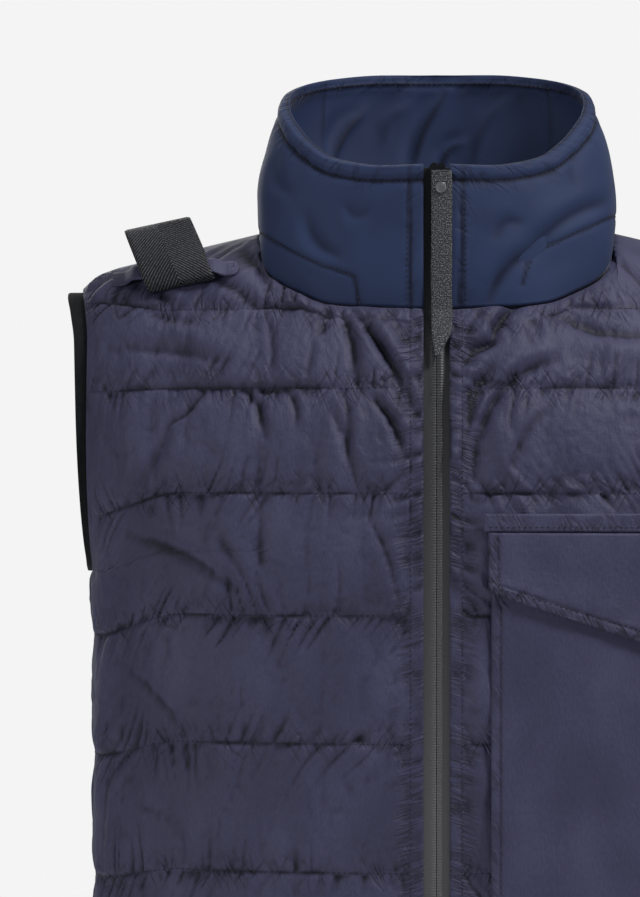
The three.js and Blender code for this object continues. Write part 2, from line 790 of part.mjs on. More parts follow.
// A patch on the front between two edges, from one height to another at each place
function patchMesh(name, material, places, rows, lift, thickness, sign) {
  const layer = (distance) => rows.map((share) => places.map((place) => {
    const z = lerp(place.top, place.bottom, share);
    return mirrored(overFront(place.x, z, distance), sign);
  }));
  return wallMesh(name, material, layer(lift + thickness), layer(lift));
}

function evenSteps(count) {
  return Array.from({ length: count + 1 }, (_, k) => k / count);
}

const POCKET_LIFT = PUFF + CLEAR_OF_PUFF;
const FLAP_LIFT = POCKET_LIFT + POCKET.thickness + LAYER_GAP;

function makePocketBody() {
  const places = evenSteps(9).map((share) => {
    const x = lerp(POCKET.inner, POCKET.outer, share);
    return { x, top: POCKET.top, bottom: POCKET.bottom };
  });
  return patchMesh('pocket_body', shellCloth(), places, evenSteps(14), POCKET_LIFT, POCKET.thickness, 1);
}

function makePocketFlap() {
  const places = evenSteps(9).map((share) => {
    const x = lerp(FLAP.inner, FLAP.outer, share);
    const bottom = FLAP.top - FLAP.innerDrop - FLAP.slope * (x - FLAP.inner);
    return { x, top: FLAP.top, bottom };
  });
  return patchMesh('pocket_flap', shellCloth(), places, evenSteps(5), FLAP_LIFT, FLAP.thickness, 1);
}

function makePocketWelt() {
  const places = evenSteps(9).map((share) => {
    return { x: lerp(WELT.inner, WELT.outer, share), top: WELT.top, bottom: WELT.bottom };
  });
  return patchMesh('pocket_welt', shellCloth(), places, evenSteps(2), FLAP_LIFT, WELT.thickness, 1);
}

// Armhole bands

// The inner corner of the panels' edge all round an armhole, from the underarm up the
// front, over the shoulder and down the back
function armholeLoop() {
  const front = frontGrids([]);
  const back = backGrids();
  const edge = (grids) => grids.outer.map((line, j) => {
    const last = line.length - 1;
    return { corner: grids.inner[j][last], rim: line[last], side: rowSideHeight(ROWS[j]) };
  }).filter((place) => place.side >= UNDERARM_Z - AT_UNDERARM);
  const frontEdge = edge(front).reverse();
  const backEdge = edge(back).slice(1, -1);
  return [...frontEdge, ...backEdge];
}

function makeBand(name, sign) {
  const loop = armholeLoop();
  const middle = new THREE.Vector3(0, SHOULDER_RIDGE_Y / 2, ARMHOLE_MIDDLE_Z);
  const shoulderZ = shoulderHeight(SHOULDER_REACH);
  const sections = loop.map(({ corner, rim, side }) => {
    const inward = new THREE.Vector3(0, middle.y - corner.y, middle.z - corner.z).normalize();
    const raised = (side - UNDERARM_Z) / (shoulderZ - UNDERARM_Z);
    const width = lerp(BAND.bottomWidth, BAND.topWidth, raised);
    const near = corner.x - BAND.tuck;
    const far = rim.x + width;
    const place = (x, depth) => {
      const point = offsetPoint(corner, inward, BAND.gap + depth);
      return new THREE.Vector3(sign * x, point.y, point.z);
    };
    return [
      place(near, 0),
      place(far, 0),
      place(far, BAND.thickness),
      place(near, BAND.thickness),
    ];
  });
  return ringMesh(name, bandCloth(), sections);
}

// Webbing ring and its keeper

function makeRing() {
  const path = RING_PATH.map((p) => new THREE.Vector2(p.y, p.z));
  const count = path.length;
  const sections = path.map((point, k) => {
    const ahead = path[(k + 1) % count];
    const behind = path[(k + count - 1) % count];
    const along = new THREE.Vector2().subVectors(ahead, behind).normalize();
    const half = RING.thickness / 2;
    const outside = { y: point.x - along.y * half, z: point.y + along.x * half };
    const inside = { y: point.x + along.y * half, z: point.y - along.x * half };
    const place = (spot, across) => {
      const x = RING.middleX + across + RING.lean * (spot.z - RING.footZ);
      const z = spot.z - RING.slope * across;
      return new THREE.Vector3(-x, spot.y + RING.skew * across, z);
    };
    const reach = RING.width / 2;
    return [
      place(outside, -reach),
      place(outside, reach),
      place(inside, reach),
      place(inside, -reach),
    ];
  });
  return ringMesh('shoulder_loop', webbingCloth(), sections);
}

function makeKeeper() {
  const places = evenSteps(14).map((share) => lerp(KEEPER.inner, KEEPER.outer, share));
  const ringStart = RING.middleX - RING.width / 2;
  const ringEnd = RING.middleX + RING.width / 2 + KEEPER.pastRing;
  const lift = (x) => {
    const rise = smoothstep(x, ringStart - KEEPER.ramp, ringStart);
    const fall = 1 - smoothstep(x, ringEnd, ringEnd + KEEPER.ramp);
    return PUFF + CLEAR_OF_PUFF + KEEPER.overRing * rise * fall;
  };
  const layer = (extra) => [0.5, 0, -0.5].map((side) => places.map((x) => {
    const z = KEEPER.middle - KEEPER.drop * (x - KEEPER.inner) + side * KEEPER.width;
    return mirrored(overFront(x, z, lift(x) + extra), -1);
  }));
  return wallMesh('loop_keeper', shellCloth(), layer(KEEPER.thickness), layer(0));
}

const vest = new THREE.Group();
vest.add(makeFront('front_right', -1, FOLDS_RIGHT));
vest.add(makeFront('front_left', 1, FOLDS_LEFT));
vest.add(makeBack());
vest.add(makeCollar());
vest.add(makeZipTape('zip_tape_right', -1));
vest.add(makeZipTape('zip_tape_left', 1));
vest.add(makeCoil());
vest.add(makeSlider());
vest.add(makeRibbon());
vest.add(makeSnap());
vest.add(makePocketBody());
vest.add(makePocketFlap());
vest.add(makePocketWelt());
vest.add(makeBand('armhole_band_right', -1));
vest.add(makeBand('armhole_band_left', 1));
vest.add(makeRing());
vest.add(makeKeeper());

export default vest;
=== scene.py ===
# %% [markdown]
# A quilted vest, worn by nobody
#
# The vest is a light padded body of crinkled nylon, a stand collar of smooth soft shell, a closed
# reverse-coil zip and stretch binding round the armholes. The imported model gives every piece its
# real size and place. Here each piece becomes cloth, webbing, tape or metal.

# %% The frame
import math

import bpy
import numpy as np
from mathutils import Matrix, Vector


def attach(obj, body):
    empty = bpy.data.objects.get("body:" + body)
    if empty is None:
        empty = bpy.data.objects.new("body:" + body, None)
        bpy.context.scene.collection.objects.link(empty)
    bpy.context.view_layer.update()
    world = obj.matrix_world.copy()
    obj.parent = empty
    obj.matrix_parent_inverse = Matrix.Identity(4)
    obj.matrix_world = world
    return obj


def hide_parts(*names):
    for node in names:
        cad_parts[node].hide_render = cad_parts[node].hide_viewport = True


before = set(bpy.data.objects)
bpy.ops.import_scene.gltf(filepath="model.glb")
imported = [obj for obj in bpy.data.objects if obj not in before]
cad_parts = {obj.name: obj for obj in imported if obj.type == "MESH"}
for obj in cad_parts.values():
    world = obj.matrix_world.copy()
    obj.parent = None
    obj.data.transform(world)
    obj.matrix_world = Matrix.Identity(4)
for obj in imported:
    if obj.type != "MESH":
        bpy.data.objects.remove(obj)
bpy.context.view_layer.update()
MM = 0.001
print("frame nodes:", sorted(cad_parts))


# %% [markdown]
# The body's shape
#
# The vest hangs round a general figure. At each height its section is a flattened ellipse, which
# rolls off into the shoulder line near the top. These are the sizes that the model itself is
# worked out from, so that the cloth lies on the solid all over, without being fitted to it.

# %% Sizes of the body, in millimetres
SECTION_POWER = 2.4
RIDGE_Y = 8
SHOULDER_TOP, SHOULDER_SLOPE, SHOULDER_ROUNDING = 20.2, 0.245, 30
SHOULDER_END_FROM, SHOULDER_END_SPAN, SHOULDER_END_DROP = 185, 22, 7
SHOULDER_REACH = 207
ROLL_OFF = {"front": 170, "back": 185}
UNDERARM_Z, ARMHOLE_MIDDLE_Z, ARMHOLE_HALF_DEPTH = -197, -110, 66
NECK_HALF_WIDTH = 103.3
WALL = 3
ZIP_EDGE_X, ZIP_STITCH_X = 7.3, 14.5
HEM_Z = -652

BODY_COLUMNS = ("z", "side", "front", "back")
BODY_ROWS = (
    (-652, 195, 106, 104),
    (-500, 198, 110, 99),
    (-372, 199, 113, 97),
    (-290, 199.5, 116, 102),
    (-197, 200, 118, 109),
    (-110, 201, 118, 112),
    (-62, 201.8, 118, 112),
    (-43, 204.4, 118, 112),
    (-31, 207, 118, 112),
    (40, 207, 118, 112),
)
NECK_COLUMNS = ("angle", "z")
NECK_ROWS = (
    (0, -47), (14, -45.7), (25, -45), (37, -43), (51, -36), (64, -29),
    (76, -20), (84, -9), (90, 1.2), (110, 5), (140, 9), (180, 11),
)
QUILT_COLUMNS = ("front", "side", "back")
QUILT_ROWS = (
    (-45.5, -40.6, -34),
    (-91, -92.6, -92),
    (-150, -164, -158),
    (-218.6, -233, -230),
    (-290.5, -302, -301),
    (-362.9, -372, -372),
    (-435, -443, -443),
    (-507, -513, -513),
    (-579, -583, -583),
    (-630, -630, -630),
    (HEM_Z, HEM_Z, HEM_Z),
)
DROOP_START = 0.72


# %% Reading a table along a smooth line
def column(rows, names, name):
    return np.array([row[names.index(name)] for row in rows], float)


def read_table(rows, names, value_name, at):
    """Values between a table's rows, along a smooth line that never overshoots them."""
    keys = column(rows, names, names[0])
    values = column(rows, names, value_name)
    at = np.clip(np.asarray(at, float), keys[0], keys[-1])
    slopes = np.diff(values) / np.diff(keys)
    tangents = np.concatenate([slopes[:1], slopes[1:], slopes[-1:]])
    product = slopes[:-1] * slopes[1:]
    total = np.where(product > 0, slopes[:-1] + slopes[1:], 1)
    tangents[1:-1] = np.where(product > 0, 2 * product / total, 0)
    k = np.clip(np.searchsorted(keys, at, "right") - 1, 0, len(keys) - 2)
    run = keys[k + 1] - keys[k]
    t = (at - keys[k]) / run
    bend = t * t * (3 - 2 * t)
    start_part = t * (1 - t) ** 2 * run * tangents[k]
    end_part = t * t * (t - 1) * run * tangents[k + 1]
    return values[k] + (values[k + 1] - values[k]) * bend + start_part + end_part


def smoothstep(x, low, high):
    t = np.clip((np.asarray(x, float) - low) / (high - low), 0, 1)
    return t * t * (3 - 2 * t)


def mix(a, b, share):
    return a + (b - a) * share


def near_line(away, reach):
    """1 on a line, fading on both sides of it."""
    return np.exp(-((away / reach) ** 2))


print("half width at the chest:", read_table(BODY_ROWS, BODY_COLUMNS, "side", -197), "mm")


# %% The body's surface
def body_side(z):
    return read_table(BODY_ROWS, BODY_COLUMNS, "side", z)


def shoulder_height(x):
    end = np.maximum(0, (x - SHOULDER_END_FROM) / SHOULDER_END_SPAN)
    run = np.hypot(x, SHOULDER_ROUNDING) - SHOULDER_ROUNDING
    return SHOULDER_TOP - SHOULDER_SLOPE * run - SHOULDER_END_DROP * end * end


def armhole_depth(z):
    share = np.clip((ARMHOLE_MIDDLE_Z - z) / (ARMHOLE_MIDDLE_Z - UNDERARM_Z), 0, 1)
    return ARMHOLE_HALF_DEPTH * np.sqrt(1 - share * share)


def body_depth(face, x, z):
    depth = read_table(BODY_ROWS, BODY_COLUMNS, face, z)
    opened = (armhole_depth(z) / depth) ** SECTION_POWER
    reach = body_side(z) / (1 - opened) ** (1 / SECTION_POWER)
    rounded = np.maximum(0, 1 - (x / reach) ** SECTION_POWER) ** (1 / SECTION_POWER)
    below = np.clip((shoulder_height(x) - z) / ROLL_OFF[face], 0, 1)
    roll = np.sqrt(1 - (1 - below) ** 2)
    outward = -1 if face == "front" else 1
    return RIDGE_Y * (1 - roll) + outward * depth * rounded * roll


def neck_height(angle):
    return read_table(NECK_ROWS, NECK_COLUMNS, "z", angle)


def top_edge(face, x):
    angle = np.degrees(np.arcsin(np.clip(x / NECK_HALF_WIDTH, 0, 1)))
    around = angle if face == "front" else 180 - angle
    neck = np.minimum(neck_height(around), shoulder_height(x))
    return np.where(x >= NECK_HALF_WIDTH, shoulder_height(x), neck)


def quilt_line(face, index, x, side):
    line = QUILT_ROWS[index]
    middle = line[QUILT_COLUMNS.index(face)]
    height = mix(middle, line[QUILT_COLUMNS.index("side")], smoothstep(x / side, DROOP_START, 1))
    if index > 0:
        return height
    return np.minimum(height, top_edge(face, x) - 8)


print("depth of the chest:", round(float(body_depth("front", 0.0, -150.0)), 1), "mm at the front")


# %% [markdown]
# Closed sheets of cloth
#
# Cloth is a thin wall. The outer face is a fine grid of points, which carries every fold and
# pucker. The inside of a padded panel is plain, so its grid is coarser, and a fan of triangles
# along the border joins the two. That keeps the triangles for the face that is looked at.

# %% Grids of points
def grid_normals(points, flip):
    along = np.gradient(points, axis=1)
    down = np.gradient(points, axis=0)
    normals = np.cross(along, down) * flip
    length = np.linalg.norm(normals, axis=2, keepdims=True)
    return normals / np.maximum(length, 1e-9)


def length_along(path):
    """Distance from a line's first point to each of its points."""
    return np.concatenate([[0], np.cumsum(np.linalg.norm(np.diff(path, axis=0), axis=1))])


def grid_faces(rows, columns, first=0, flip=False):
    index = first + np.arange(rows * columns).reshape(rows, columns)
    quads = [index[:-1, :-1], index[:-1, 1:], index[1:, 1:], index[1:, :-1]]
    if flip:
        quads.reverse()
    return np.stack(quads, axis=-1).reshape(-1, 4).tolist()


def border(rows, columns, first=0):
    index = first + np.arange(rows * columns).reshape(rows, columns)
    return np.concatenate([index[0, :-1], index[:-1, -1], index[-1, :0:-1], index[:0:-1, 0]])


def new_object(name, points, faces, uv=None):
    mesh = bpy.data.meshes.new(name)
    mesh.from_pydata((np.asarray(points).reshape(-1, 3) * MM).tolist(), [], faces)
    mesh.update()
    if uv is not None:
        layer = mesh.uv_layers.new(name="cloth")
        corners = np.empty(len(mesh.loops), np.int32)
        mesh.loops.foreach_get("vertex_index", corners)
        layer.data.foreach_set("uv", np.asarray(uv, float).reshape(-1, 2)[corners].ravel())
    mesh.polygons.foreach_set("use_smooth", np.ones(len(mesh.polygons), bool))
    thing = bpy.data.objects.new(name, mesh)
    bpy.context.scene.collection.objects.link(thing)
    return thing


def face_out(thing, inside_out):
    """Turns every face round if the closed mesh was made inside out."""
    if inside_out:
        thing.data.flip_normals()
    return thing


def signed_volume(thing):
    mesh = thing.data
    mesh.calc_loop_triangles()
    corners = np.empty(len(mesh.loop_triangles) * 3, np.int32)
    mesh.loop_triangles.foreach_get("vertices", corners)
    places = np.empty(len(mesh.vertices) * 3)
    mesh.vertices.foreach_get("co", places)
    a, b, c = places.reshape(-1, 3)[corners.reshape(-1, 3)].transpose(1, 0, 2)
    return float(np.einsum("ij,ij->i", a, np.cross(b, c)).sum() / 6)


def wall(name, outer, inner, uv=None):
    """A closed wall between two grids of points. The inner grid may be coarser."""
    rows, columns = outer.shape[:2]
    inner_rows, inner_columns = inner.shape[:2]
    step_down = (rows - 1) // (inner_rows - 1)
    step_along = (columns - 1) // (inner_columns - 1)
    first = rows * columns
    faces = grid_faces(rows, columns) + grid_faces(inner_rows, inner_columns, first, True)
    fine = border(rows, columns)
    coarse = border(inner_rows, inner_columns, first)
    sides = (
        [step_along] * (inner_columns - 1) + [step_down] * (inner_rows - 1)
        + [step_along] * (inner_columns - 1) + [step_down] * (inner_rows - 1)
    )
    at = 0
    for k, count in enumerate(sides):
        here, ahead = int(coarse[k]), int(coarse[(k + 1) % len(coarse)])
        ends = [int(fine[(at + m) % len(fine)]) for m in range(count + 1)]
        half = count // 2
        for m in range(count):
            anchor = here if m < max(1, half) else ahead
            faces.append((ends[m + 1], ends[m], anchor))
        faces.append((ends[max(1, half)], here, ahead))
        at += count
    all_uv = None
    if uv is not None:
        coarse_uv = uv[::step_down, ::step_along]
        all_uv = np.concatenate([uv.reshape(-1, 2), coarse_uv.reshape(-1, 2)])
    points = np.concatenate([outer.reshape(-1, 3), inner.reshape(-1, 3)])
    thing = new_object(name, points, faces, all_uv)
    return face_out(thing, signed_volume(thing) < 0)


def mark(thing, name, values):
    """Keeps one value for each point of the outer grid, for the finish to read."""
    layer = thing.data.attributes.new(name, "FLOAT", "POINT")
    every = np.zeros(len(thing.data.vertices))
    every[:values.size] = values.ravel()
    layer.data.foreach_set("value", every)


def mirror_x(points):
    return points * np.array([-1, 1, 1])


def closed_loop(name, sections, uv=None):
    """A ring of closed sections, such as a band of cloth round an opening."""
    count, size = sections.shape[:2]
    index = np.arange(count * size).reshape(count, size)
    ahead = np.roll(index, -1, axis=0)
    quads = [index, np.roll(index, -1, axis=1), np.roll(ahead, -1, axis=1), ahead]
    thing = new_object(name, sections, np.stack(quads, axis=-1).reshape(-1, 4).tolist(), uv)
    return face_out(thing, signed_volume(thing) < 0)


print("sheets and rings of cloth can be made")


# %% [markdown]
# The quilted panels
#
# Each front is one panel of crinkled nylon over thin wadding, from its folded edge beside the zip
# to the side seam, and the back is one panel from side to side. Stitched lines hold the wadding
# down, and the cloth swells between them. The rows of each grid follow those lines, so that a
# line of stitches never cuts across a face.

# %% Rows and columns of a panel
PUFF = 3
SEAM_GAP, SEAM_SLACK = 0.3, 0.5
EDGE_WALL = 2
FRONT_STEPS = (20, 32, 48, 48, 40, 36, 36, 32, 32, 24, 12)
BACK_STEPS = (8, 16, 24, 24, 24, 24, 24, 24, 24, 20, 12)
STRIP_STEPS, FRONT_COLUMNS, BACK_COLUMNS = 4, 176, 130
COARSER = 4
TOP_LINE_FADE = (62, 84)
FILL_POWER, SAG = 0.6, 1.3
LENGTH_SAMPLES = 400


def panel_rows(steps):
    """The line above each row, and how far down the row lies to the next. -1 is the top edge."""
    upper = [k - 1 for k, count in enumerate(steps) for _ in range(count)]
    share = [m / count for count in steps for m in range(count)]
    return np.array(upper + [len(steps) - 2]), np.array(share + [1.0])


def line_height(face, index, x, side):
    return top_edge(face, x) if index < 0 else quilt_line(face, index, x, side)


def row_side_height(upper, share):
    above = float(shoulder_height(SHOULDER_REACH)) if upper < 0 else QUILT_ROWS[upper][1]
    return mix(above, QUILT_ROWS[upper + 1][1], share)


def row_points(face, upper, share, start, count):
    """Points along one row, evenly spaced over the cloth from the start to the side."""
    side = float(body_side(row_side_height(upper, share)))
    x = start + (side - start) * np.sin(np.linspace(0, math.pi / 2, LENGTH_SAMPLES))
    above, below = line_height(face, upper, x, side), line_height(face, upper + 1, x, side)
    z = mix(above, below, share)
    path = np.stack([x, body_depth(face, x, z), z], axis=1)
    length = length_along(path)
    even = np.linspace(0, length[-1], count + 1)
    return np.stack([np.interp(even, length, path[:, k]) for k in range(3)], axis=1)


def strip_points(face, upper, share):
    """The folded edge between the zip and its stitch line."""
    x = np.linspace(ZIP_EDGE_X, ZIP_STITCH_X, STRIP_STEPS + 1)[:-1]
    side = float(body_side(row_side_height(upper, share)))
    z = mix(line_height(face, upper, x, side), line_height(face, upper + 1, x, side), share)
    return np.stack([x, body_depth(face, x, z), z], axis=1)


def quarter(face, steps, columns):
    uppers, shares = panel_rows(steps)
    start = ZIP_STITCH_X if face == "front" else 0.0
    rows = []
    for upper, share in zip(uppers, shares):
        row = row_points(face, int(upper), float(share), start, columns)
        if face == "front":
            row = np.concatenate([strip_points(face, int(upper), float(share)), row])
        rows.append(row)
    points = np.array(rows)
    sign = -1 if face == "front" else 1
    sides = np.array([row_side_height(int(u), float(s)) for u, s in zip(uppers, shares)])
    points[sides <= UNDERARM_Z + SEAM_SLACK, -1, 1] = sign * SEAM_GAP / 2
    points[0, points[0, :, 0] >= NECK_HALF_WIDTH, 1] = RIDGE_Y + sign * SEAM_GAP / 2
    return points, uppers, shares, sides


front_points, front_upper, front_share, front_sides = quarter("front", FRONT_STEPS, FRONT_COLUMNS)
back_points, back_upper, back_share, back_sides = quarter("back", BACK_STEPS, BACK_COLUMNS)
print("front grid:", front_points.shape, "back grid, one half:", back_points.shape)


# %% How far the cloth stands out over its wadding
def flatten_normals(normals, pick, axis):
    normals[pick, axis] = 0
    normals[pick] /= np.linalg.norm(normals[pick], axis=-1, keepdims=True)


def panel_normals(face, points, sides):
    normals = grid_normals(points, -1 if face == "front" else 1)
    low = np.zeros(points.shape[:2], bool)
    low[sides <= UNDERARM_Z + SEAM_SLACK, -1] = True
    flatten_normals(normals, low, 1)
    hem = np.zeros_like(low)
    hem[-1] = True
    flatten_normals(normals, hem, 2)
    middle = np.zeros_like(low)
    middle[:, 0] = True
    flatten_normals(normals, middle, 0)
    ridge = np.zeros_like(low)
    ridge[0, points[0, :, 0] >= NECK_HALF_WIDTH - 0.01] = True
    flatten_normals(normals, ridge, 1)
    return normals


def channel_fill(share):
    """The wadding sinks, so that each channel is fullest below its middle."""
    sunk = np.clip(share, 0, 1) ** SAG
    return (4 * sunk * (1 - sunk)) ** FILL_POWER


def panel_fill(face, points, uppers, shares, sides):
    """How full the cloth is at each point, 0 on a stitched line and 1 in mid channel."""
    x, z = points[..., 0], points[..., 2]
    side = body_side(sides)[:, None]
    fill = np.repeat(channel_fill(shares)[:, None], x.shape[1], axis=1)
    top = top_edge(face, x)
    second = quilt_line(face, 1, x, side)
    joined = channel_fill((top - z) / (top - second))
    fill = np.where(uppers[:, None] <= 0, mix(joined, fill, smoothstep(x, *TOP_LINE_FADE)), fill)
    away = side - x
    seam = mix(0.75, 1, smoothstep(away, 0, 6))
    raised = smoothstep(z, UNDERARM_Z - 8, UNDERARM_Z + 8)
    fill = fill * mix(seam, smoothstep(away, 0, 9), raised)
    if face == "front":
        fill = fill * smoothstep(x, ZIP_STITCH_X, ZIP_STITCH_X + 14)
    return fill


front_normals = panel_normals("front", front_points, front_sides)
back_normals = panel_normals("back", back_points, back_sides)
front_fill = panel_fill("front", front_points, front_upper, front_share, front_sides)
back_fill = panel_fill("back", back_points, back_upper, back_share, back_sides)
print("fullest:", round(float(front_fill.max()), 2), "of", PUFF, "mm")


# %% [markdown]
# Cloth that was sewn while it was longer than its wadding
#
# Nylon puckers along a stitch line, because the seam draws it in while the cloth between stays
# full. Blender's cloth simulation makes that swelling: the flat cut is a little wider than the
# body, the stitched lines are pinned, and a slight pressure fills the channels. The result is
# added to the fine grid, and no cloth modifier is left on the piece.

# %% Settings of the simulation
FRAMES = 20
WIDER, TALLER = 1.06, 1.012
FILL_PRESSURE = 0.8
CLOTH_MASS, CLOTH_BENDING, CLOTH_STIFFNESS = 0.002, 0.012, 14
MOST_OUT, MOST_IN = 4.0, 2.4
SIM_STEP = 2
SEED_WOBBLE = 0.25


def weave_of(points):
    """The flat cut: distances measured along the rows and down the columns, made a bit larger."""
    along = np.linalg.norm(np.diff(points, axis=1), axis=2)
    across = np.concatenate([np.zeros((points.shape[0], 1)), np.cumsum(along, axis=1)], axis=1)
    down = np.linalg.norm(np.diff(points, axis=0), axis=2)
    fall = np.concatenate([np.zeros((1, points.shape[1])), np.cumsum(down, axis=0)], axis=0)
    return np.stack([across * WIDER, np.zeros_like(across), -fall * TALLER], axis=2)


def add_rest_shape(thing, flat):
    thing.shape_key_add(name="Basis")
    key = thing.shape_key_add(name="cut")
    key.data.foreach_set("co", (flat.reshape(-1, 3) * MM).ravel())
    return key


def pin_group(thing, pinned):
    group = thing.vertex_groups.new(name="stitched")
    group.add(np.flatnonzero(pinned.ravel()).tolist(), 1.0, "REPLACE")
    return group.name


def set_cloth(thing, key, group):
    modifier = thing.modifiers.new("cloth", "CLOTH")
    cloth = modifier.settings
    cloth.quality = 5
    cloth.mass = CLOTH_MASS
    cloth.tension_stiffness = CLOTH_STIFFNESS
    cloth.compression_stiffness = CLOTH_STIFFNESS
    cloth.bending_stiffness = CLOTH_BENDING
    cloth.use_pressure = True
    cloth.uniform_pressure_force = FILL_PRESSURE
    cloth.vertex_group_mass = group
    cloth.rest_shape_key = key
    cloth.effector_weights.gravity = 0
    modifier.point_cache.frame_start = 1
    modifier.point_cache.frame_end = FRAMES
    return modifier


def simulate(name, points, normals, pinned, seed):
    """How far each point of the grid moves when the cloth between the stitches is filled."""
    random = np.random.default_rng(seed)
    wobble = random.uniform(-SEED_WOBBLE, SEED_WOBBLE, points.shape[:2]) * ~pinned
    start = points + normals * wobble[..., None]
    faces = grid_faces(*points.shape[:2])
    thing = new_object(name, start, faces)
    first = thing.data.polygons[0].normal
    if first.dot(Vector(normals[0, 0])) < 0:
        thing.data.flip_normals()
    key = add_rest_shape(thing, weave_of(points))
    set_cloth(thing, key, pin_group(thing, pinned))
    scene = bpy.context.scene
    for step in range(1, FRAMES + 1):
        scene.frame_set(step)
    moved = thing.evaluated_get(bpy.context.evaluated_depsgraph_get()).to_mesh()
    places = np.empty(len(moved.vertices) * 3)
    moved.vertices.foreach_get("co", places)
    scene.frame_set(1)
    mesh = thing.data
    bpy.data.objects.remove(thing)
    bpy.data.meshes.remove(mesh)
    return places.reshape(points.shape) / MM - points


def enlarge(values, rows, columns):
    """Values of a coarse grid read on a finer one, in straight lines between its points."""
    down = np.linspace(0, values.shape[0] - 1, rows)
    across = np.linspace(0, values.shape[1] - 1, columns)
    j = np.minimum(down.astype(int), values.shape[0] - 2)
    i = np.minimum(across.astype(int), values.shape[1] - 2)
    v = (down - j)[:, None]
    u = (across - i)[None, :]
    if values.ndim == 3:
        v, u = v[..., None], u[..., None]
    top = values[j][:, i] * (1 - u) + values[j][:, i + 1] * u
    low = values[j + 1][:, i] * (1 - u) + values[j + 1][:, i + 1] * u
    return top * (1 - v) + low * v


def soften(values, times=1):
    for _ in range(times):
        padded = np.pad(values, 1, mode="edge")
        around = padded[:-2, 1:-1] + padded[2:, 1:-1] + padded[1:-1, :-2] + padded[1:-1, 2:]
        values = values * 0.5 + around * 0.125
    return values


def pinned_points(shares, columns, strip):
    """Stitched lines, the panel's borders and the stitching beside the zip hold the cloth."""
    pinned = np.zeros((len(shares), columns), bool)
    pinned[(shares == 0) | (shares == 1)] = True
    pinned[[0, -1]] = True
    pinned[:, [0, -1]] = True
    pinned[:, :strip] = True
    return pinned


def swelling(name, points, normals, fill, shares, strip, seed):
    """The simulated swelling along the normal, in millimetres, on the fine grid."""
    rows, columns = points.shape[:2]
    coarse = (slice(None, None, SIM_STEP), slice(None, None, SIM_STEP))
    body = (points + normals * (fill * PUFF * 0.5)[..., None])[coarse]
    pinned = pinned_points(shares[::SIM_STEP], body.shape[1], strip)
    moved = simulate(name, body, normals[coarse], pinned, seed)
    out = np.einsum("ijk,ijk->ij", moved, normals[coarse])
    out = out - soften(out, 60)
    return np.clip(soften(enlarge(out, rows, columns), 1), -MOST_IN, MOST_OUT)


print("cloth:", FRAMES, "frames, cut", round((WIDER - 1) * 100, 1), "% wider than the body")


# %% Uneven lines
LINE_VALUES, LINE_START, FIELD_VALUES = 512, 200, 64


def eased(t):
    return t * t * (3 - 2 * t)


def noise_line(at, spacing, seed):
    """Smooth random heights from -1 to 1 along a line, one value every spacing."""
    random = np.random.default_rng(seed)
    values = random.uniform(-1, 1, LINE_VALUES)
    place = np.asarray(at, float) / spacing + LINE_START
    k = np.floor(place).astype(int)
    return mix(values[k % LINE_VALUES], values[(k + 1) % LINE_VALUES], eased(place - k))


def noise_field(u, v, seed):
    """Smooth random heights from -1 to 1 over a sheet, one value in each unit square."""
    random = np.random.default_rng(seed)
    size = FIELD_VALUES
    values = random.uniform(-1, 1, (size, size))
    j, i = np.floor(v).astype(int), np.floor(u).astype(int)
    t, s = eased(v - j), eased(u - i)
    upper = mix(values[j % size, i % size], values[j % size, (i + 1) % size], s)
    lower = mix(values[(j + 1) % size, i % size], values[(j + 1) % size, (i + 1) % size], s)
    return mix(upper, lower, t)


def near_path(x, z, path):
    """Distance from each point to a line of straight stretches, seen from the front."""
    best = np.full(np.shape(x), 1e9)
    for (x0, z0), (x1, z1) in zip(path[:-1], path[1:]):
        dx, dz = x1 - x0, z1 - z0
        along = np.clip(((x - x0) * dx + (z - z0) * dz) / (dx * dx + dz * dz), 0, 1)
        best = np.minimum(best, np.hypot(x - x0 - along * dx, z - z0 - along * dz))
    return best


print("uneven lines repeat only after", LINE_VALUES, "values")


# %% [markdown]
# Folds and puckers
#
# A few large folds run from the neck towards the zip, where the collar's weight pulls on the
# fronts, and they are placed one by one as they lie on the real vest. The short creases along
# each stitch line are another matter: every stitch line has them, no two alike, so they come
# from an uneven line that fades with the distance from the stitches.

# %% Folds, listed one by one: x and z of both ends, width and depth, x measured from the middle
FOLDS_RIGHT = (
    (63, -44, 66, -62, 7, 2.7),
    (54, -48, 46, -86, 7, 3.7),
    (44, -52, 15, -98, 6, 5.4),
    (34, -98, 19, -126, 6, 4.1),
    (168, -176, 112, -204, 8, 2.5),
    (178, -70, 120, -78, 9, 2.2),
    (96, -50, 92, -86, 5, 1.5),
    (150, -110, 172, -150, 7, 1.9),
    (120, -176, 96, -224, 6, 1.5),
    (60, -102, 44, -148, 6, 1.7),
    (176, -250, 140, -290, 7, 1.5),
    (36, -166, 22, -206, 5, 1.7),
    (150, -390, 118, -428, 7, 1.4),
    (112, -12, 94, -38, 6, 2.4),
    (126, -30, 102, -46, 6, 1.8),
    (172, -34, 150, -44, 7, 1.8),
    (138, -54, 168, -42, 7, 1.7),
    (84, -92, 78, -112, 5, 2.2),
    (132, -94, 150, -112, 5, 2.4),
    (108, -92, 96, -118, 6, 2.6),
    (52, -94, 50, -128, 5, 2.0),
    (70, -60, 74, -88, 6, 1.6),
)
FOLDS_LEFT = (
    (50, -40, 30, -66, 7, 5.2),
    (32, -66, 15, -78, 6, 5.4),
    (30, -82, 17, -112, 9, 6.2),
    (34, -96, 20, -140, 8, 4.8),
    (64, -76, 34, -96, 7, 3.4),
    (72, -52, 118, -62, 8, 3.1),
    (178, -176, 130, -152, 9, 2.2),
    (24, -92, 15, -134, 5, 3.1),
    (98, -96, 138, -88, 7, 2.0),
    (60, -104, 40, -140, 6, 1.9),
    (174, -96, 150, -140, 7, 1.7),
    (40, -440, 66, -480, 6, 1.4),
)
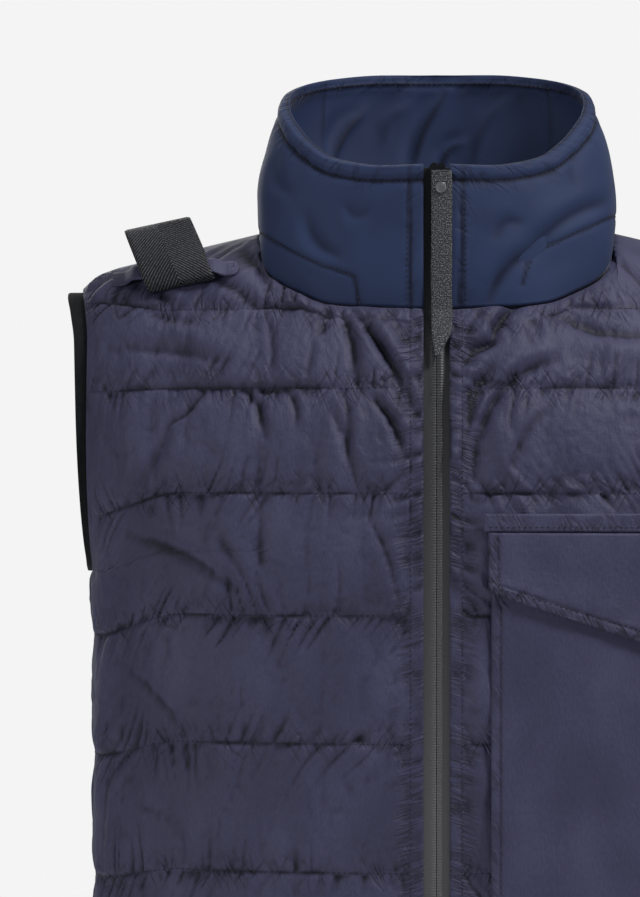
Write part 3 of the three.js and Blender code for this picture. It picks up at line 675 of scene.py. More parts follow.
FOLDS_BACK = (
    (-120, -40, -60, -78, 9, 2.4),
    (112, -44, 66, -84, 9, 2.5),
    (-176, -120, -120, -150, 9, 2.2),
    (172, -110, 128, -150, 8, 2.0),
    (-20, -96, 12, -150, 7, 1.5),
    (-168, -250, -110, -290, 8, 1.7),
    (160, -320, 110, -364, 8, 1.5),
    (30, -450, 64, -500, 8, 1.4),
)
RIDGE_BESIDE = 0.6
FOLD_EASE = 0.35
FOLD_BOW, TROUGH_WIDTH, RIDGE_AWAY, RIDGE_WIDTH = 0.4, 0.48, 1.1, 0.8


def fold_relief(x, z, folds):
    """Troughs with a softer ridge beside them, fading towards both ends of each fold."""
    relief = np.zeros_like(x)
    for x0, z0, x1, z1, width, depth in folds:
        dx, dz = x1 - x0, z1 - z0
        length = math.hypot(dx, dz)
        along = ((x - x0) * dx + (z - z0) * dz) / length**2
        across = ((x - x0) * dz - (z - z0) * dx) / length
        fade = smoothstep(along, -FOLD_EASE, FOLD_EASE)
        fade = fade * (1 - smoothstep(along, 1 - FOLD_EASE, 1 + FOLD_EASE))
        bow = across - width * FOLD_BOW * np.sin(np.clip(along, 0, 1) * math.pi)
        trough = near_line(bow, width * TROUGH_WIDTH)
        ridge = near_line(bow - width * RIDGE_AWAY, width * RIDGE_WIDTH)
        relief += depth * fade * (RIDGE_BESIDE * ridge - trough)
    return relief


def arc_along(points):
    """Distance along each row, in millimetres, so that creases keep their spacing at the side."""
    step = np.linalg.norm(np.diff(points, axis=1), axis=2)
    return np.concatenate([np.zeros((points.shape[0], 1)), np.cumsum(step, axis=1)], axis=1)


PUCKER_REACH = 14
PUCKER_HEIGHT = 1.5
PUCKER_SPACING = (5.0, 9.0, 17.0)
CREASE_SPACING, CREASE_DEPTH = 8.0, 2.4
SIDE_STRONGER, SIDE_FROM, SIDE_TO = 1.7, 0.76, 0.97
LEAN_ABOVE, LEAN_BELOW = 0.55, -0.5


def pucker_relief(points, uppers, shares, seed):
    """Short creases that run away from each stitch line, up and down, strongest at the sides."""
    along = arc_along(points)
    out = np.abs(points[..., 0]) / np.abs(points[..., 0]).max(axis=1, keepdims=True)
    strength = mix(1, SIDE_STRONGER, smoothstep(out, SIDE_FROM, SIDE_TO))
    relief = np.zeros(points.shape[:2])
    for line in range(len(QUILT_ROWS) - 1):
        at_line = np.flatnonzero((uppers == line) & (shares == 0))
        if not len(at_line):
            continue
        row = int(at_line[0])
        away = points[..., 2] - points[row, :, 2][None, :]
        for side, (lean, sign) in enumerate(((LEAN_ABOVE, 1), (LEAN_BELOW, -1))):
            here = sign * away
            key = seed + 40 * line + 7 * side
            place = along + lean * here * (0.6 + 1.6 * noise_line(along, 48, key + 5))
            waves = (
                0.9 * np.abs(noise_line(place, PUCKER_SPACING[0], key + 1))
                + 1.2 * np.abs(noise_line(place, PUCKER_SPACING[1], key + 2))
                + 0.5 * noise_line(place, PUCKER_SPACING[2], key + 3) - 0.55
            )
            sharp = (1 - np.abs(noise_line(place, CREASE_SPACING, key + 6))) ** 5
            some = smoothstep(noise_line(along, 21, key + 8), -0.3, 0.5)
            reach = PUCKER_REACH * (1 + 0.65 * noise_line(along, 19, key + 4))
            fade = near_line(here, reach) * smoothstep(here, 0, 2.0) * (here >= 0)
            relief += (PUCKER_HEIGHT * waves - CREASE_DEPTH * sharp * some) * fade * strength
    return relief


HELD_REACH = 10


def line_rows(uppers, shares):
    """The rows of the grid that lie on a line of quilting."""
    return [int(k) for k in np.flatnonzero((shares == 0) & (uppers >= 0))]


def held_near(points, uppers, shares):
    """How near each point lies to a row of quilting stitches, 1 on the row."""
    nearest = np.full(points.shape[:2], 1e9)
    for row in line_rows(uppers, shares):
        nearest = np.minimum(nearest, np.abs(points[..., 2] - points[row, :, 2][None, :]))
    return near_line(nearest, HELD_REACH)


# Across, down and high, for each size of crease
CRUSH_SIZES = ((36.0, 92.0, 2.6), (16.0, 36.0, 1.7), (7.5, 14.0, 0.6))


def crush_relief(points, seed):
    """Soft uneven hollows with sharper valleys between them, longer down the cloth than across."""
    along, z = arc_along(points), points[..., 2]
    relief = np.zeros_like(z)
    for k, (across, down, height) in enumerate(CRUSH_SIZES):
        bend = 0.45 * noise_field(along / across, z / down, seed + 10 + k)
        heights = noise_field(along / across + bend + 9, z / down + bend + 30, seed + k)
        relief += height * (np.abs(heights) - 0.35)
    return relief


GATHERS_FROM, GATHERS_TO, GATHERS_EASE = -56, -196, 16
GATHER_HEIGHT, CALM_SHARE, GATHER_BEYOND, GATHER_FADE = 2.2, 0.4, 8, 11


def gather_relief(x, z, seed):
    """Crosswise gathers of the edge beside the zip, and the same creases beyond its stitches."""
    strong = smoothstep(-z, -GATHERS_FROM - GATHERS_EASE, -GATHERS_FROM + GATHERS_EASE)
    strong = strong * (1 - smoothstep(-z, -GATHERS_TO - GATHERS_EASE, -GATHERS_TO + GATHERS_EASE))
    strength = mix(CALM_SHARE, 1, strong)
    lean = 0.25 * (x - ZIP_EDGE_X)
    waves = 0.7 * noise_line(z + lean, 4.4, seed) + 0.6 * noise_line(z - lean, 8, seed + 1)
    on_strip = smoothstep(x, ZIP_EDGE_X - 0.1, ZIP_EDGE_X + 1.6) * (x < ZIP_STITCH_X)
    dip = 1 - near_line(x - ZIP_STITCH_X, 1.1)
    beyond = near_line(x - ZIP_STITCH_X, GATHER_FADE) * (x >= ZIP_STITCH_X)
    return GATHER_HEIGHT * strength * waves * (on_strip + 0.8 * beyond) * dip


print("folds:", len(FOLDS_RIGHT), "right,", len(FOLDS_LEFT), "left,", len(FOLDS_BACK), "back")


# %% [markdown]
# Marks for the painted shade and creases of the finishes
#
# In a real crease the cloth shades itself and draws finer wrinkles than a mesh can hold. So the
# panels, the collar and the pocket carry values for their finish, which paints shade into the colour:
# how deep a point lies below the cloth around it, and how near it is to stitches that gather the
# cloth. They are worked out from the grid itself, so the painted shade always lies in the valley.

# %% How hollow each point lies
BLUR_REACH, NEAR_PASSES, WIDE_PASSES = 2, 1, 4
HOLLOW_NEAR, HOLLOW_WIDE = 0.7, 2.2
NEAR_WEIGHT, WIDE_WEIGHT, FLAT_ENOUGH = 0.55, 0.6, 0.06


def blurred(values, passes):
    reach = BLUR_REACH
    count = 2 * reach + 1
    rows, columns = values.shape
    for _ in range(passes):
        wide = np.pad(values, reach, mode="edge")
        values = sum(wide[reach:-reach, k:k + columns] for k in range(count)) / count
        wide = np.pad(values, reach, mode="edge")
        values = sum(wide[k:k + rows, reach:-reach] for k in range(count)) / count
    return values


def hollow_share(relief):
    """How far each point lies below the cloth around it, where less light gets in."""
    near = (blurred(relief, NEAR_PASSES) - relief) / HOLLOW_NEAR
    wide = (blurred(relief, WIDE_PASSES) - relief) / HOLLOW_WIDE
    return np.clip(NEAR_WEIGHT * near + WIDE_WEIGHT * wide - FLAT_ENOUGH, 0, 1)


print("each point is compared with the mean of", (2 * BLUR_REACH + 1) ** 2, "points round it")


# %% The finished panels
SHALLOWEST, DEEPEST, FOLD_ROOM = 0.9, 2.6, 1.2
LOOSE_FROM, FOLD_LEAST, LINE_SHARE = 1.6, 0.6, 0.6
SIDE_FREE, TOP_FREE, ZIP_FREE, DEEPER_OVER = 8, 5, 4, 18
CRUSH_SEED, GATHER_SEED = 500, 900


def panel(name, points, normals, fill, grid_rows, folds, extra, seed, strip=0):
    uppers, shares = grid_rows
    x, z = points[..., 0], points[..., 2]
    swell = swelling(name + "_cut", points, normals, fill, shares, strip, seed)
    loose = np.minimum(1, fill * LOOSE_FROM)
    folded = fold_relief(x, z, folds)
    relief = PUFF * fill + swell * loose + folded * np.minimum(1, FOLD_LEAST + fill)
    across = np.abs(x)
    free = smoothstep(across.max(axis=1, keepdims=True) - across, 0, SIDE_FREE)
    free = free * smoothstep(z[:1] - z, 0, TOP_FREE)
    if strip:
        free = free * smoothstep(x, ZIP_STITCH_X, ZIP_STITCH_X + ZIP_FREE)
    creases = pucker_relief(points, uppers, shares, seed)
    relief = relief + creases * free + crush_relief(points, seed + CRUSH_SEED) * loose + extra
    hollow = hollow_share(relief - LINE_SHARE * PUFF * fill)
    relief[-1] = np.maximum(relief[-1], 0)
    deepest = mix(SHALLOWEST, DEEPEST, smoothstep(np.abs(x), ZIP_STITCH_X, ZIP_STITCH_X + DEEPER_OVER))
    outer = points + normals * np.maximum(relief, -deepest)[..., None]
    print(name, "swells", round(float(swell.std()), 2), "mm, creases",
          round(float(creases.std()), 2), "mm")
    return outer, hollow


def lining_depth(x):
    """The inside lies deeper away from the zip, so that the folds have room."""
    thick = mix(EDGE_WALL, WALL, smoothstep(x, ZIP_STITCH_X, ZIP_STITCH_X + 12))
    return thick + FOLD_ROOM * smoothstep(x, ZIP_STITCH_X + 4, ZIP_STITCH_X + 18)


def stretch(points):
    return np.stack([arc_along(points), points[..., 2]], axis=2) * MM


def make_front(name, side, folds, seed):
    x, z = front_points[..., 0], front_points[..., 2]
    gathers = gather_relief(x, z, seed + GATHER_SEED)
    outer, hollow = panel(
        name, front_points, front_normals, front_fill, (front_upper, front_share), folds,
        gathers, seed, STRIP_STEPS // SIM_STEP + 1,
    )
    inner = (front_points - front_normals * lining_depth(x)[..., None])[::COARSER, ::COARSER]
    if side < 0:
        outer, inner = mirror_x(outer), mirror_x(inner)
    thing = wall(name, outer, inner, stretch(front_points))
    mark(thing, "hollow", hollow)
    mark(thing, "held", held_near(front_points, front_upper, front_share) * (x > ZIP_STITCH_X))
    mark(thing, "gathered", near_line(np.maximum(0, x - ZIP_STITCH_X), GATHER_BEYOND))
    return thing, outer


def make_back(name, seed):
    whole = np.concatenate([mirror_x(back_points[:, :0:-1]), back_points], axis=1)
    normals = np.concatenate([mirror_x(back_normals[:, :0:-1]), back_normals], axis=1)
    fill = np.concatenate([back_fill[:, :0:-1], back_fill], axis=1)
    rows = (back_upper, back_share)
    outer, hollow = panel(name, whole, normals, fill, rows, FOLDS_BACK, 0, seed)
    inner = (whole - normals * (WALL + FOLD_ROOM))[::COARSER, ::COARSER]
    thing = wall(name, outer, inner, stretch(whole))
    mark(thing, "hollow", hollow)
    mark(thing, "held", held_near(whole, back_upper, back_share))
    return thing, outer


right_front, right_outer = make_front("quilted_front_right", -1, FOLDS_RIGHT, 11)
left_front, left_outer = make_front("quilted_front_left", 1, FOLDS_LEFT, 211)
back_panel, back_outer = make_back("quilted_back", 411)
for piece in (right_front, left_front, back_panel):
    print(piece.name, len(piece.data.polygons), "faces")


# %% [markdown]
# The collar
#
# The collar is two layers of a smooth, matte soft shell with a thick turned rim. It isn't quilted,
# so its form comes from its section: straight at the neck seam, a shallow valley at the row of
# topstitching, and a soft roll at the rim. The inside shows, so both faces get the fine grid.

# %% The collar's section, taken from the same sizes as its solid
COLLAR_WALL, RIM_WALL, COLLAR_ZIP_WALL = 3.6, 5.2, 2.2
ZIP_THINNING = (9, 26)
RIM_HALF_WIDTH, RIM_CENTRE_Y, RIM_DEPTH = 89, -23, 68
SIDE_BULGE, FRONT_BULGE = 6, 1.5
SEAM_LIFT, SEAM_INSET = 0.8, 0.9
RIM_COLUMNS = ("angle", "z")
RIM_ROWS = (
    (0, 36), (20, 35.5), (41, 40), (57, 51), (70, 62), (86, 73), (105, 84), (135, 93.2),
    (158, 96.5), (180, 97),
)
PROUD_COLUMNS = ("share", "proud")
PROUD_ROWS = (
    (0, 0), (0.16, 0.5), (0.34, 0.6), (0.52, 0.6), (0.76, 0.6), (0.83, 0.4), (0.885, -0.5),
    (0.94, 1.1), (0.985, 1.2), (1, -0.9),
)
COLLAR_AROUND, COLLAR_UP = 336, 64
DENT_X, DENT_Z, DENT_WIDTH, DENT_DEPTH = 62, -18, 16, 3.2
PANEL_SEAM_RIGHT = ((-103, 0), (-90, -8), (-66, -20.5), (-46, -27.5), (-44, -44.8))
PANEL_SEAM_LEFT = ((103, 9), (77, -4), (55, -15), (49, -32))
COLLAR_ZIP_SEAMS = (((-15.8, 26), (-14, -46)), ((15, 26), (13, -46)))
COLLAR_FOLDS = (
    (-74, 6, -56, -16, 9, 1.9),
    (-52, 12, -38, 9, 8, 1.2),
    (95, 16, 56, -13, 9, 2.4),
    (56, -13, 30, -40, 9, 2.6),
    (48, 4, 33, -5, 8, 1.2),
    (-92, 44, -84, 20, 9, 1.2),
    (84, 46, 78, 24, 8, 1.0),
)
TOPSTITCH_SHARE, TOPSTITCH_FROM_X = 0.885, 15
BACK_RISE, FRONT_RISE = 96, 80
ZIP_SEAM_X, PAST_MIDDLE, FAR = 14.8, 12, 1000


def below_rim(share):
    """Distance down the back of the collar from its rim."""
    return (1 - share) * BACK_RISE


def above_topstitch(share):
    """Distance up the front of the collar from its topstitching."""
    return (share - TOPSTITCH_SHARE) * FRONT_RISE


def neck_point(angle):
    x = NECK_HALF_WIDTH * np.sin(np.radians(angle))
    z = np.minimum(neck_height(angle), shoulder_height(x))
    y = np.where(angle <= 90, body_depth("front", x, z), body_depth("back", x, z))
    return np.stack([x, y, z], axis=-1)


def rim_point(angle):
    turn = np.radians(angle)
    z = read_table(RIM_ROWS, RIM_COLUMNS, "z", angle)
    y = RIM_CENTRE_Y - RIM_DEPTH * np.cos(turn)
    return np.stack([RIM_HALF_WIDTH * np.sin(turn), y, z], axis=-1)


def start_angle(half_width):
    return math.degrees(math.asin(ZIP_EDGE_X / half_width))


def collar_middle():
    """Points, outward directions and shares of the collar, a row for each height."""
    around = np.linspace(0, 2, COLLAR_AROUND + 1)
    half = np.where(around <= 1, around, 2 - around)
    sign = np.where(around <= 1, -1.0, 1.0)
    base = neck_point(mix(start_angle(NECK_HALF_WIDTH), 180, half))
    rim = rim_point(mix(start_angle(RIM_HALF_WIDTH), 180, half))
    outward = np.stack([base[:, 0], base[:, 1] - RIM_CENTRE_Y, np.zeros_like(half)], axis=1)
    outward /= np.linalg.norm(outward, axis=1, keepdims=True)
    bulge = mix(FRONT_BULGE, SIDE_BULGE, np.abs(outward[:, 0]) ** 3)
    base = base - outward * SEAM_INSET
    base[:, 2] += SEAM_LIFT
    share = (1 - (1 - np.linspace(0, 1, COLLAR_UP + 1)) ** 1.35)[:, None, None]
    points = base + (rim - base) * share
    points = points + outward * (4 * bulge[None, :, None] * share * (1 - share))
    points[..., 0] *= sign
    outward[:, 0] *= sign
    outward[0, 0] = outward[-1, 0] = 0
    outward /= np.linalg.norm(outward, axis=1, keepdims=True)
    return points, np.broadcast_to(outward, points.shape), share[:, 0, 0]


collar_points, collar_outward, collar_share = collar_middle()
print("collar rim from", collar_points[-1, :, 2].min().round(1), "to",
      collar_points[-1, :, 2].max().round(1), "mm")


# %% Seams, puckers and soft folds of the collar
def groove(away, width, depth):
    return -depth * near_line(away, width)


def collar_outside_relief(points, share):
    x, y, z = points[..., 0], points[..., 1], points[..., 2]
    in_front = y < RIM_CENTRE_Y + PAST_MIDDLE
    dent = np.hypot(x - DENT_X, z - DENT_Z) / DENT_WIDTH
    relief = -DENT_DEPTH * np.exp(-dent * dent) * (y < RIM_CENTRE_Y)
    for seam in (PANEL_SEAM_RIGHT, PANEL_SEAM_LEFT):
        relief += groove(near_path(x, z, seam), 1.7, 0.7) * in_front
    for seam in COLLAR_ZIP_SEAMS:
        beside = near_path(x, z, seam)
        relief += groove(beside, 1.3, 0.8) * in_front
        relief += 0.3 * noise_line(z, 4.2, 75) * near_line(beside, 4) * in_front
    relief += fold_relief(x, z, COLLAR_FOLDS) * (y < RIM_CENTRE_Y)
    around = arc_along(points)
    from_stitch = above_topstitch(share)[:, None]
    slanted = around + 0.7 * from_stitch
    pucker = 0.8 * noise_line(slanted, 4.2, 71) + 0.6 * noise_line(around + 0.4 * from_stitch, 9, 72)
    relief += groove(from_stitch, 1.4, 0.5) + 0.42 * pucker * near_line(from_stitch, 6)
    soft = noise_field(around / 42, z / 30 + 9, 73) + 0.5 * noise_field(around / 19, z / 21 + 9, 74)
    return relief + 0.8 * soft * np.sin(math.pi * share)[:, None]


INSIDE_FOLDS = (
    (5, 84, -14, 44, 7, 2.8),
    (16, 57, 3, 43, 5, 2.0),
    (-47, 73, -64, 47, 6, 2.3),
    (46, 82, 24, 48, 9, 1.6),
    (-20, 78, -34, 58, 8, 1.0),
)
INSIDE_SEAM_X, RIM_TURN = 70, 6.2


def collar_inside_relief(points, share):
    x, y, z = points[..., 0], points[..., 1], points[..., 2]
    at_back = smoothstep(y, RIM_CENTRE_Y, RIM_CENTRE_Y + 20)
    relief = fold_relief(x, z, INSIDE_FOLDS) * at_back
    relief += groove(np.abs(np.abs(x) - INSIDE_SEAM_X), 1.2, 0.9) * at_back
    around = arc_along(points)
    from_rim = below_rim(share)[:, None]
    relief += groove(from_rim - RIM_TURN, 1.3, 0.8) * (from_rim > 2)
    pucker = 0.8 * noise_line(around + 0.6 * from_rim, 4.2, 81) + 0.5 * noise_line(around, 9, 82)
    return relief + 0.5 * pucker * near_line(from_rim - RIM_TURN, 5)


PUCKERED_OVER, GROOVE_HALF, TURN_HALF = 5, 1.1, 1.4
GROOVE_SHADE, INSIDE_SHADE, BESIDE_ZIP_SHARE = 0.6, 0.85, 0.6


def mark_collar(thing, points, share, outside, inside):
    """Marks what the stitches pucker, and the grooves and folds that lie in shade."""
    x, y, z = points[..., 0], points[..., 1], points[..., 2]
    from_stitch = above_topstitch(share)[:, None] + np.zeros_like(x)
    from_turn = below_rim(share)[:, None] - RIM_TURN + np.zeros_like(x)
    beside_zip = np.abs(np.abs(x) - ZIP_SEAM_X) + FAR * (y > RIM_CENTRE_Y)
    near = near_line(np.minimum(0, from_stitch), PUCKERED_OVER)
    near = near + BESIDE_ZIP_SHARE * near_line(beside_zip, PUCKERED_OVER)
    mark(thing, "held", np.concatenate([np.minimum(1, near), near_line(from_turn, PUCKERED_OVER)]))
    seams = [near_path(x, z, seam) + FAR * (y > RIM_CENTRE_Y + PAST_MIDDLE)
             for seam in (PANEL_SEAM_RIGHT, PANEL_SEAM_LEFT)]
    dug = sum(near_line(away, GROOVE_HALF) for away in (from_stitch, beside_zip, *seams))
    dark_outside = hollow_share(outside) + GROOVE_SHADE * dug
    dark_inside = INSIDE_SHADE * hollow_share(-inside) + GROOVE_SHADE * near_line(from_turn, TURN_HALF)
    mark(thing, "hollow", np.clip(np.concatenate([dark_outside, dark_inside]), 0, 1))


def make_collar():
    points, outward, share = collar_points, collar_outward, collar_share
    full = smoothstep(np.abs(points[..., 0]), *ZIP_THINNING)
    proud = read_table(PROUD_ROWS, PROUD_COLUMNS, "proud", share)[:, None]
    rolled = smoothstep(share, 0.86, 0.95)[:, None]
    thick = mix(COLLAR_ZIP_WALL, mix(COLLAR_WALL, RIM_WALL, rolled), full)
    top = np.clip(below_rim(share)[:, None] / (RIM_WALL * 0.5), 0, 1)
    closing = 1 - np.sqrt(1 - (1 - top) ** 2)
    outside = proud + collar_outside_relief(points, share) * (share[:, None] > 0)
    inside = thick - proud * 0.4 - collar_inside_relief(points, share)
    middle = (outside - inside) / 2
    outside = mix(outside, middle + 0.2, closing)
    inside = mix(inside, 0.2 - middle, closing)
    outer = points + outward * outside[..., None]
    inner = points - outward * inside[..., None]
    uv = np.stack([arc_along(points), points[..., 2]], axis=2) * MM
    thing = wall("stand_collar", outer, inner, uv)
    mark_collar(thing, points, share, outside, inside)
    return thing, outer, inner


collar, collar_outer, collar_inner = make_collar()
print(collar.name, len(collar.data.polygons), "faces")


# %% [markdown]
# The zip
#
# A reverse-coil zip hides its coil behind, so the front shows two coated tapes that meet in the
# middle. The tape bends over the coil in fine crosswise ribs, one for each turn. They catch the
# light, so they are real waves in the mesh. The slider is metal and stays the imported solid.

# %% Two tapes with a rib over each turn of the coil
ZIP_TOP, ZIP_BOTTOM = 34, HEM_Z + 3
TAPE_HALF, CHAIN_HALF, CHAIN_RAISE, TAPE_THICKNESS = 13.6, 3, 0.4, 1.1
TAPE_GAP, TAPE_INSET, TAPE_COLLAR_INSET = 0.15, 3.2, 5.6
TAPE_DIP = (30, 6)
RIB_PITCH, RIB_HEIGHT, ROWS_PER_RIB = 1.5, 0.3, 4


def centre_front(z):
    seam = neck_point(np.array(0.0))
    rim = rim_point(np.array(0.0))
    on_collar = np.clip((z - seam[2]) / (rim[2] - seam[2]), 0, 1)
    on_body = body_depth("front", np.zeros_like(z), np.minimum(z, seam[2]))
    return np.where(z <= seam[2], on_body, mix(seam[1], rim[1], on_collar))


def tape_face(z):
    seam = float(neck_point(np.array(0.0))[2])
    on_collar = smoothstep(z, seam - TAPE_DIP[0], seam - TAPE_DIP[1])
    return centre_front(z) + mix(TAPE_INSET, TAPE_COLLAR_INSET, on_collar)


def make_tape(name, side):
    count = int((ZIP_TOP - ZIP_BOTTOM) / RIB_PITCH) * ROWS_PER_RIB
    z = np.linspace(ZIP_TOP, ZIP_BOTTOM, count + 1)
    x = np.concatenate([
        np.array([TAPE_GAP, 0.5, 1.2, 2.0, 2.7, 3.1]), np.linspace(3.6, TAPE_HALF, 7),
    ])
    raised = CHAIN_RAISE * (1 - smoothstep(x, CHAIN_HALF - 0.4, CHAIN_HALF + 0.6))
    rib = np.cos(2 * math.pi * (z - ZIP_TOP) / RIB_PITCH)[:, None] * RIB_HEIGHT
    rib = rib * (1 - smoothstep(x, CHAIN_HALF - 0.3, CHAIN_HALF + 0.9))
    meeting = 0.15 * near_line(x - TAPE_GAP, 0.35)
    y = tape_face(z)[:, None] - raised - rib + meeting
    grid = np.broadcast_to(x, y.shape)
    heights = np.broadcast_to(z[:, None], y.shape)
    outer = np.stack([side * grid, y, heights], axis=2)
    inner = np.stack([side * grid, y * 0 + tape_face(z)[:, None] + TAPE_THICKNESS, heights], axis=2)
    uv = np.stack([grid, heights], axis=2) * MM
    return wall(name, outer, inner[::ROWS_PER_RIB, ::4], uv)


right_tape = make_tape("coated_tape_right", -1)
left_tape = make_tape("coated_tape_left", 1)
print(right_tape.name, len(right_tape.data.polygons), "faces, a rib every", RIB_PITCH, "mm")


# %% [markdown]
# The puller
#
# A strip of ribbed ribbon is folded double through the slider, pinched to a point at its lower
# end, and held by a small metal snap. The ribbon is a thin wall with rolled edges and a rib every
# millimetre. The snap is a cylinder whose front is inset, sunk and bevelled.

# %% Ribbon
RIBBON_LEFT, RIBBON_RIGHT, RIBBON_TOP, RIBBON_BOTTOM = -3.1, 8.7, 32, -72.6
RIBBON_THICKNESS, RIBBON_CLEARANCE = 1.8, 2.1
RIBBON_RIB, RIBBON_RIB_HEIGHT = 1.3, 0.13
TAPER_FROM, TAPER_TO = 0.84, 1.02
TAPER_LEFT, TAPER_RIGHT = 2.0, 6.6


def ribbon_back(z):
    return centre_front(z) - RIBBON_CLEARANCE


def make_ribbon():
    count = int((RIBBON_TOP - RIBBON_BOTTOM) / RIBBON_RIB) * 4
    share = np.linspace(0, 1, count + 1)
    z = mix(RIBBON_TOP, RIBBON_BOTTOM, share)
    narrow = smoothstep(share, TAPER_FROM, TAPER_TO)
    left = RIBBON_LEFT + TAPER_LEFT * narrow + 0.25 * noise_line(z, 14, 91)
    right = RIBBON_RIGHT - TAPER_RIGHT * narrow + 0.25 * noise_line(z, 17, 92)
    across = np.linspace(0, 1, 17)
    x = left[:, None] + (right - left)[:, None] * across
    rib = RIBBON_RIB_HEIGHT * np.cos(2 * math.pi * z / RIBBON_RIB)[:, None]
    crown = 0.5 * np.abs(2 * across - 1) ** 6
    wave = 0.25 * noise_line(z, 26, 93)[:, None] * (across - 0.5)
    back = ribbon_back(z)[:, None] + x * 0
    front = back - RIBBON_THICKNESS + crown - rib + wave
    outer = np.stack([x, front, z[:, None] + x * 0], axis=2)
    inner = np.stack([x, back - 0.35 * crown, z[:, None] + x * 0], axis=2)
    uv = np.stack([x, z[:, None] + x * 0], axis=2) * MM
    return wall("puller_grosgrain", outer, inner, uv)


ribbon = make_ribbon()
print(ribbon.name, len(ribbon.data.polygons), "faces")


# %% Snap, modelled from a cylinder
SNAP_X, SNAP_Z, SNAP_RADIUS, SNAP_HEIGHT = 2.5, 22.2, 3.0, 1.3
SNAP_RIM, SNAP_SINK, SNAP_BEVEL, SNAP_LIFT = 0.7, 0.25, 0.22, 0.4


def only(thing):
    bpy.ops.object.select_all(action="DESELECT")
    thing.select_set(True)
    bpy.context.view_layer.objects.active = thing


def place_in_mesh(thing):
    only(thing)
    bpy.ops.object.transform_apply(location=True, rotation=True, scale=True)


def make_snap():
    depth = float(ribbon_back(np.array(SNAP_Z))) - RIBBON_THICKNESS - SNAP_LIFT - SNAP_HEIGHT / 2
    bpy.ops.object.select_all(action="DESELECT")
    bpy.ops.mesh.primitive_cylinder_add(
        vertices=48, radius=SNAP_RADIUS * MM, depth=SNAP_HEIGHT * MM,
        location=(SNAP_X * MM, depth * MM, SNAP_Z * MM), rotation=(math.pi / 2, 0, 0),
    )
    snap = bpy.context.object
    snap.name = "snap_cap"
    place_in_mesh(snap)
    bpy.ops.object.mode_set(mode="EDIT")
    bpy.ops.mesh.select_all(action="DESELECT")
    bpy.ops.object.mode_set(mode="OBJECT")
    for face in snap.data.polygons:
        face.select = face.normal.y < -0.9
    bpy.ops.object.mode_set(mode="EDIT")
    bpy.ops.mesh.select_mode(type="FACE")
    bpy.ops.mesh.inset(thickness=SNAP_RIM * MM, depth=-SNAP_SINK * MM)
    bpy.ops.mesh.inset(thickness=SNAP_RIM * MM, depth=SNAP_SINK * 0.8 * MM)
    bpy.ops.object.mode_set(mode="OBJECT")
    bevel = snap.modifiers.new("rounded", "BEVEL")
    bevel.width = SNAP_BEVEL * MM
    bevel.segments = 3
    bevel.limit_method = "ANGLE"
    bpy.ops.object.modifier_apply(modifier=bevel.name)
    bpy.ops.object.shade_smooth_by_angle(angle=math.radians(35))
    return snap


snap = make_snap()
print(snap.name, len(snap.data.polygons), "faces")


# %% [markdown]
# The chest pocket
#
# The pocket is a plain patch, laid over the quilting on the wearer's left. A slanting flap hangs
# over it, and a narrow welt covers the flap's seam. Each is a thin double layer that follows the
# body, with a turned hem, and the flap's lower hem puckers on the slant.

# %% A patch that follows the front
POCKET = {"inner": 30.4, "outer": 165, "top": -170.5, "bottom": -405, "thickness": 1.6}
FLAP = {"inner": 28.6, "outer": 168, "top": -172, "drop": 33, "slope": 0.34, "thickness": 1.8}
WELT = {"inner": 26, "outer": 170, "top": -161.3, "bottom": -171.4, "thickness": 1.8}
POCKET_LIFT = PUFF + 0.5
FLAP_LIFT = POCKET_LIFT + POCKET["thickness"] + 0.4
HEM_STITCH, POCKET_MIDDLE_Z, PATCH_COARSER = 5.5, -290, 2
FLAP_HANG, FLAP_HANG_OVER = 2.2, 26


def over_front(x, z, distance):
    step = 2.0
    slope_x = (body_depth("front", x + step, z) - body_depth("front", x - step, z)) / (2 * step)
    slope_z = (body_depth("front", x, z + step) - body_depth("front", x, z - step)) / (2 * step)
    normal = np.stack([slope_x, -np.ones_like(x), slope_z], axis=-1)
    normal /= np.linalg.norm(normal, axis=-1, keepdims=True)
    point = np.stack([x, body_depth("front", x, z), z], axis=-1)
    return point + normal * np.asarray(distance)[..., None]


def patch(name, x, z, lift, thickness, relief):
    """A double layer over the front, rounded at its edges, with a coarser plain back."""
    rounding = np.ones_like(x)
    for edge in (x[:, :1] - x, x[:, -1:] - x, z[:1] - z, z[-1:] - z):
        rounding = np.minimum(rounding, np.clip(np.abs(edge) / (thickness * 0.5), 0, 1))
    closing = 1 - np.sqrt(1 - (1 - rounding) ** 2)
    out = lift + mix(thickness + relief, thickness * 0.55, closing)
    back = lift + mix(np.zeros_like(x), thickness * 0.45 * np.ones_like(x), closing)
    outer = over_front(x, z, out)
    inner = over_front(x, z, back)[::PATCH_COARSER, ::PATCH_COARSER]
    uv = np.stack([x, z], axis=2) * MM
    return wall(name, outer, inner, uv), outer


def hem_relief(away, along, seed, height):
    """A stitched hem: a groove at its stitches and short slanting puckers on both sides."""
    fine = 0.7 * noise_line(along - 0.8 * away, 3.6, seed)
    lines = fine + 0.5 * noise_line(along - 0.5 * away, 8, seed + 1)
    near = near_line(away - HEM_STITCH + 1.5, 5)
    return groove(away - HEM_STITCH, 1.0, 0.6) + height * lines * near * (away > 0.3)


# %% Pocket body, flap and welt
def plane_grid(left, right, top, bottom, rows, columns):
    x = np.broadcast_to(np.linspace(left, right, columns + 1), (rows + 1, columns + 1)).copy()
    share = np.linspace(0, 1, rows + 1)[:, None]
    lower = bottom(x) if callable(bottom) else bottom
    return x, top + (lower - top) * share + np.zeros_like(x)


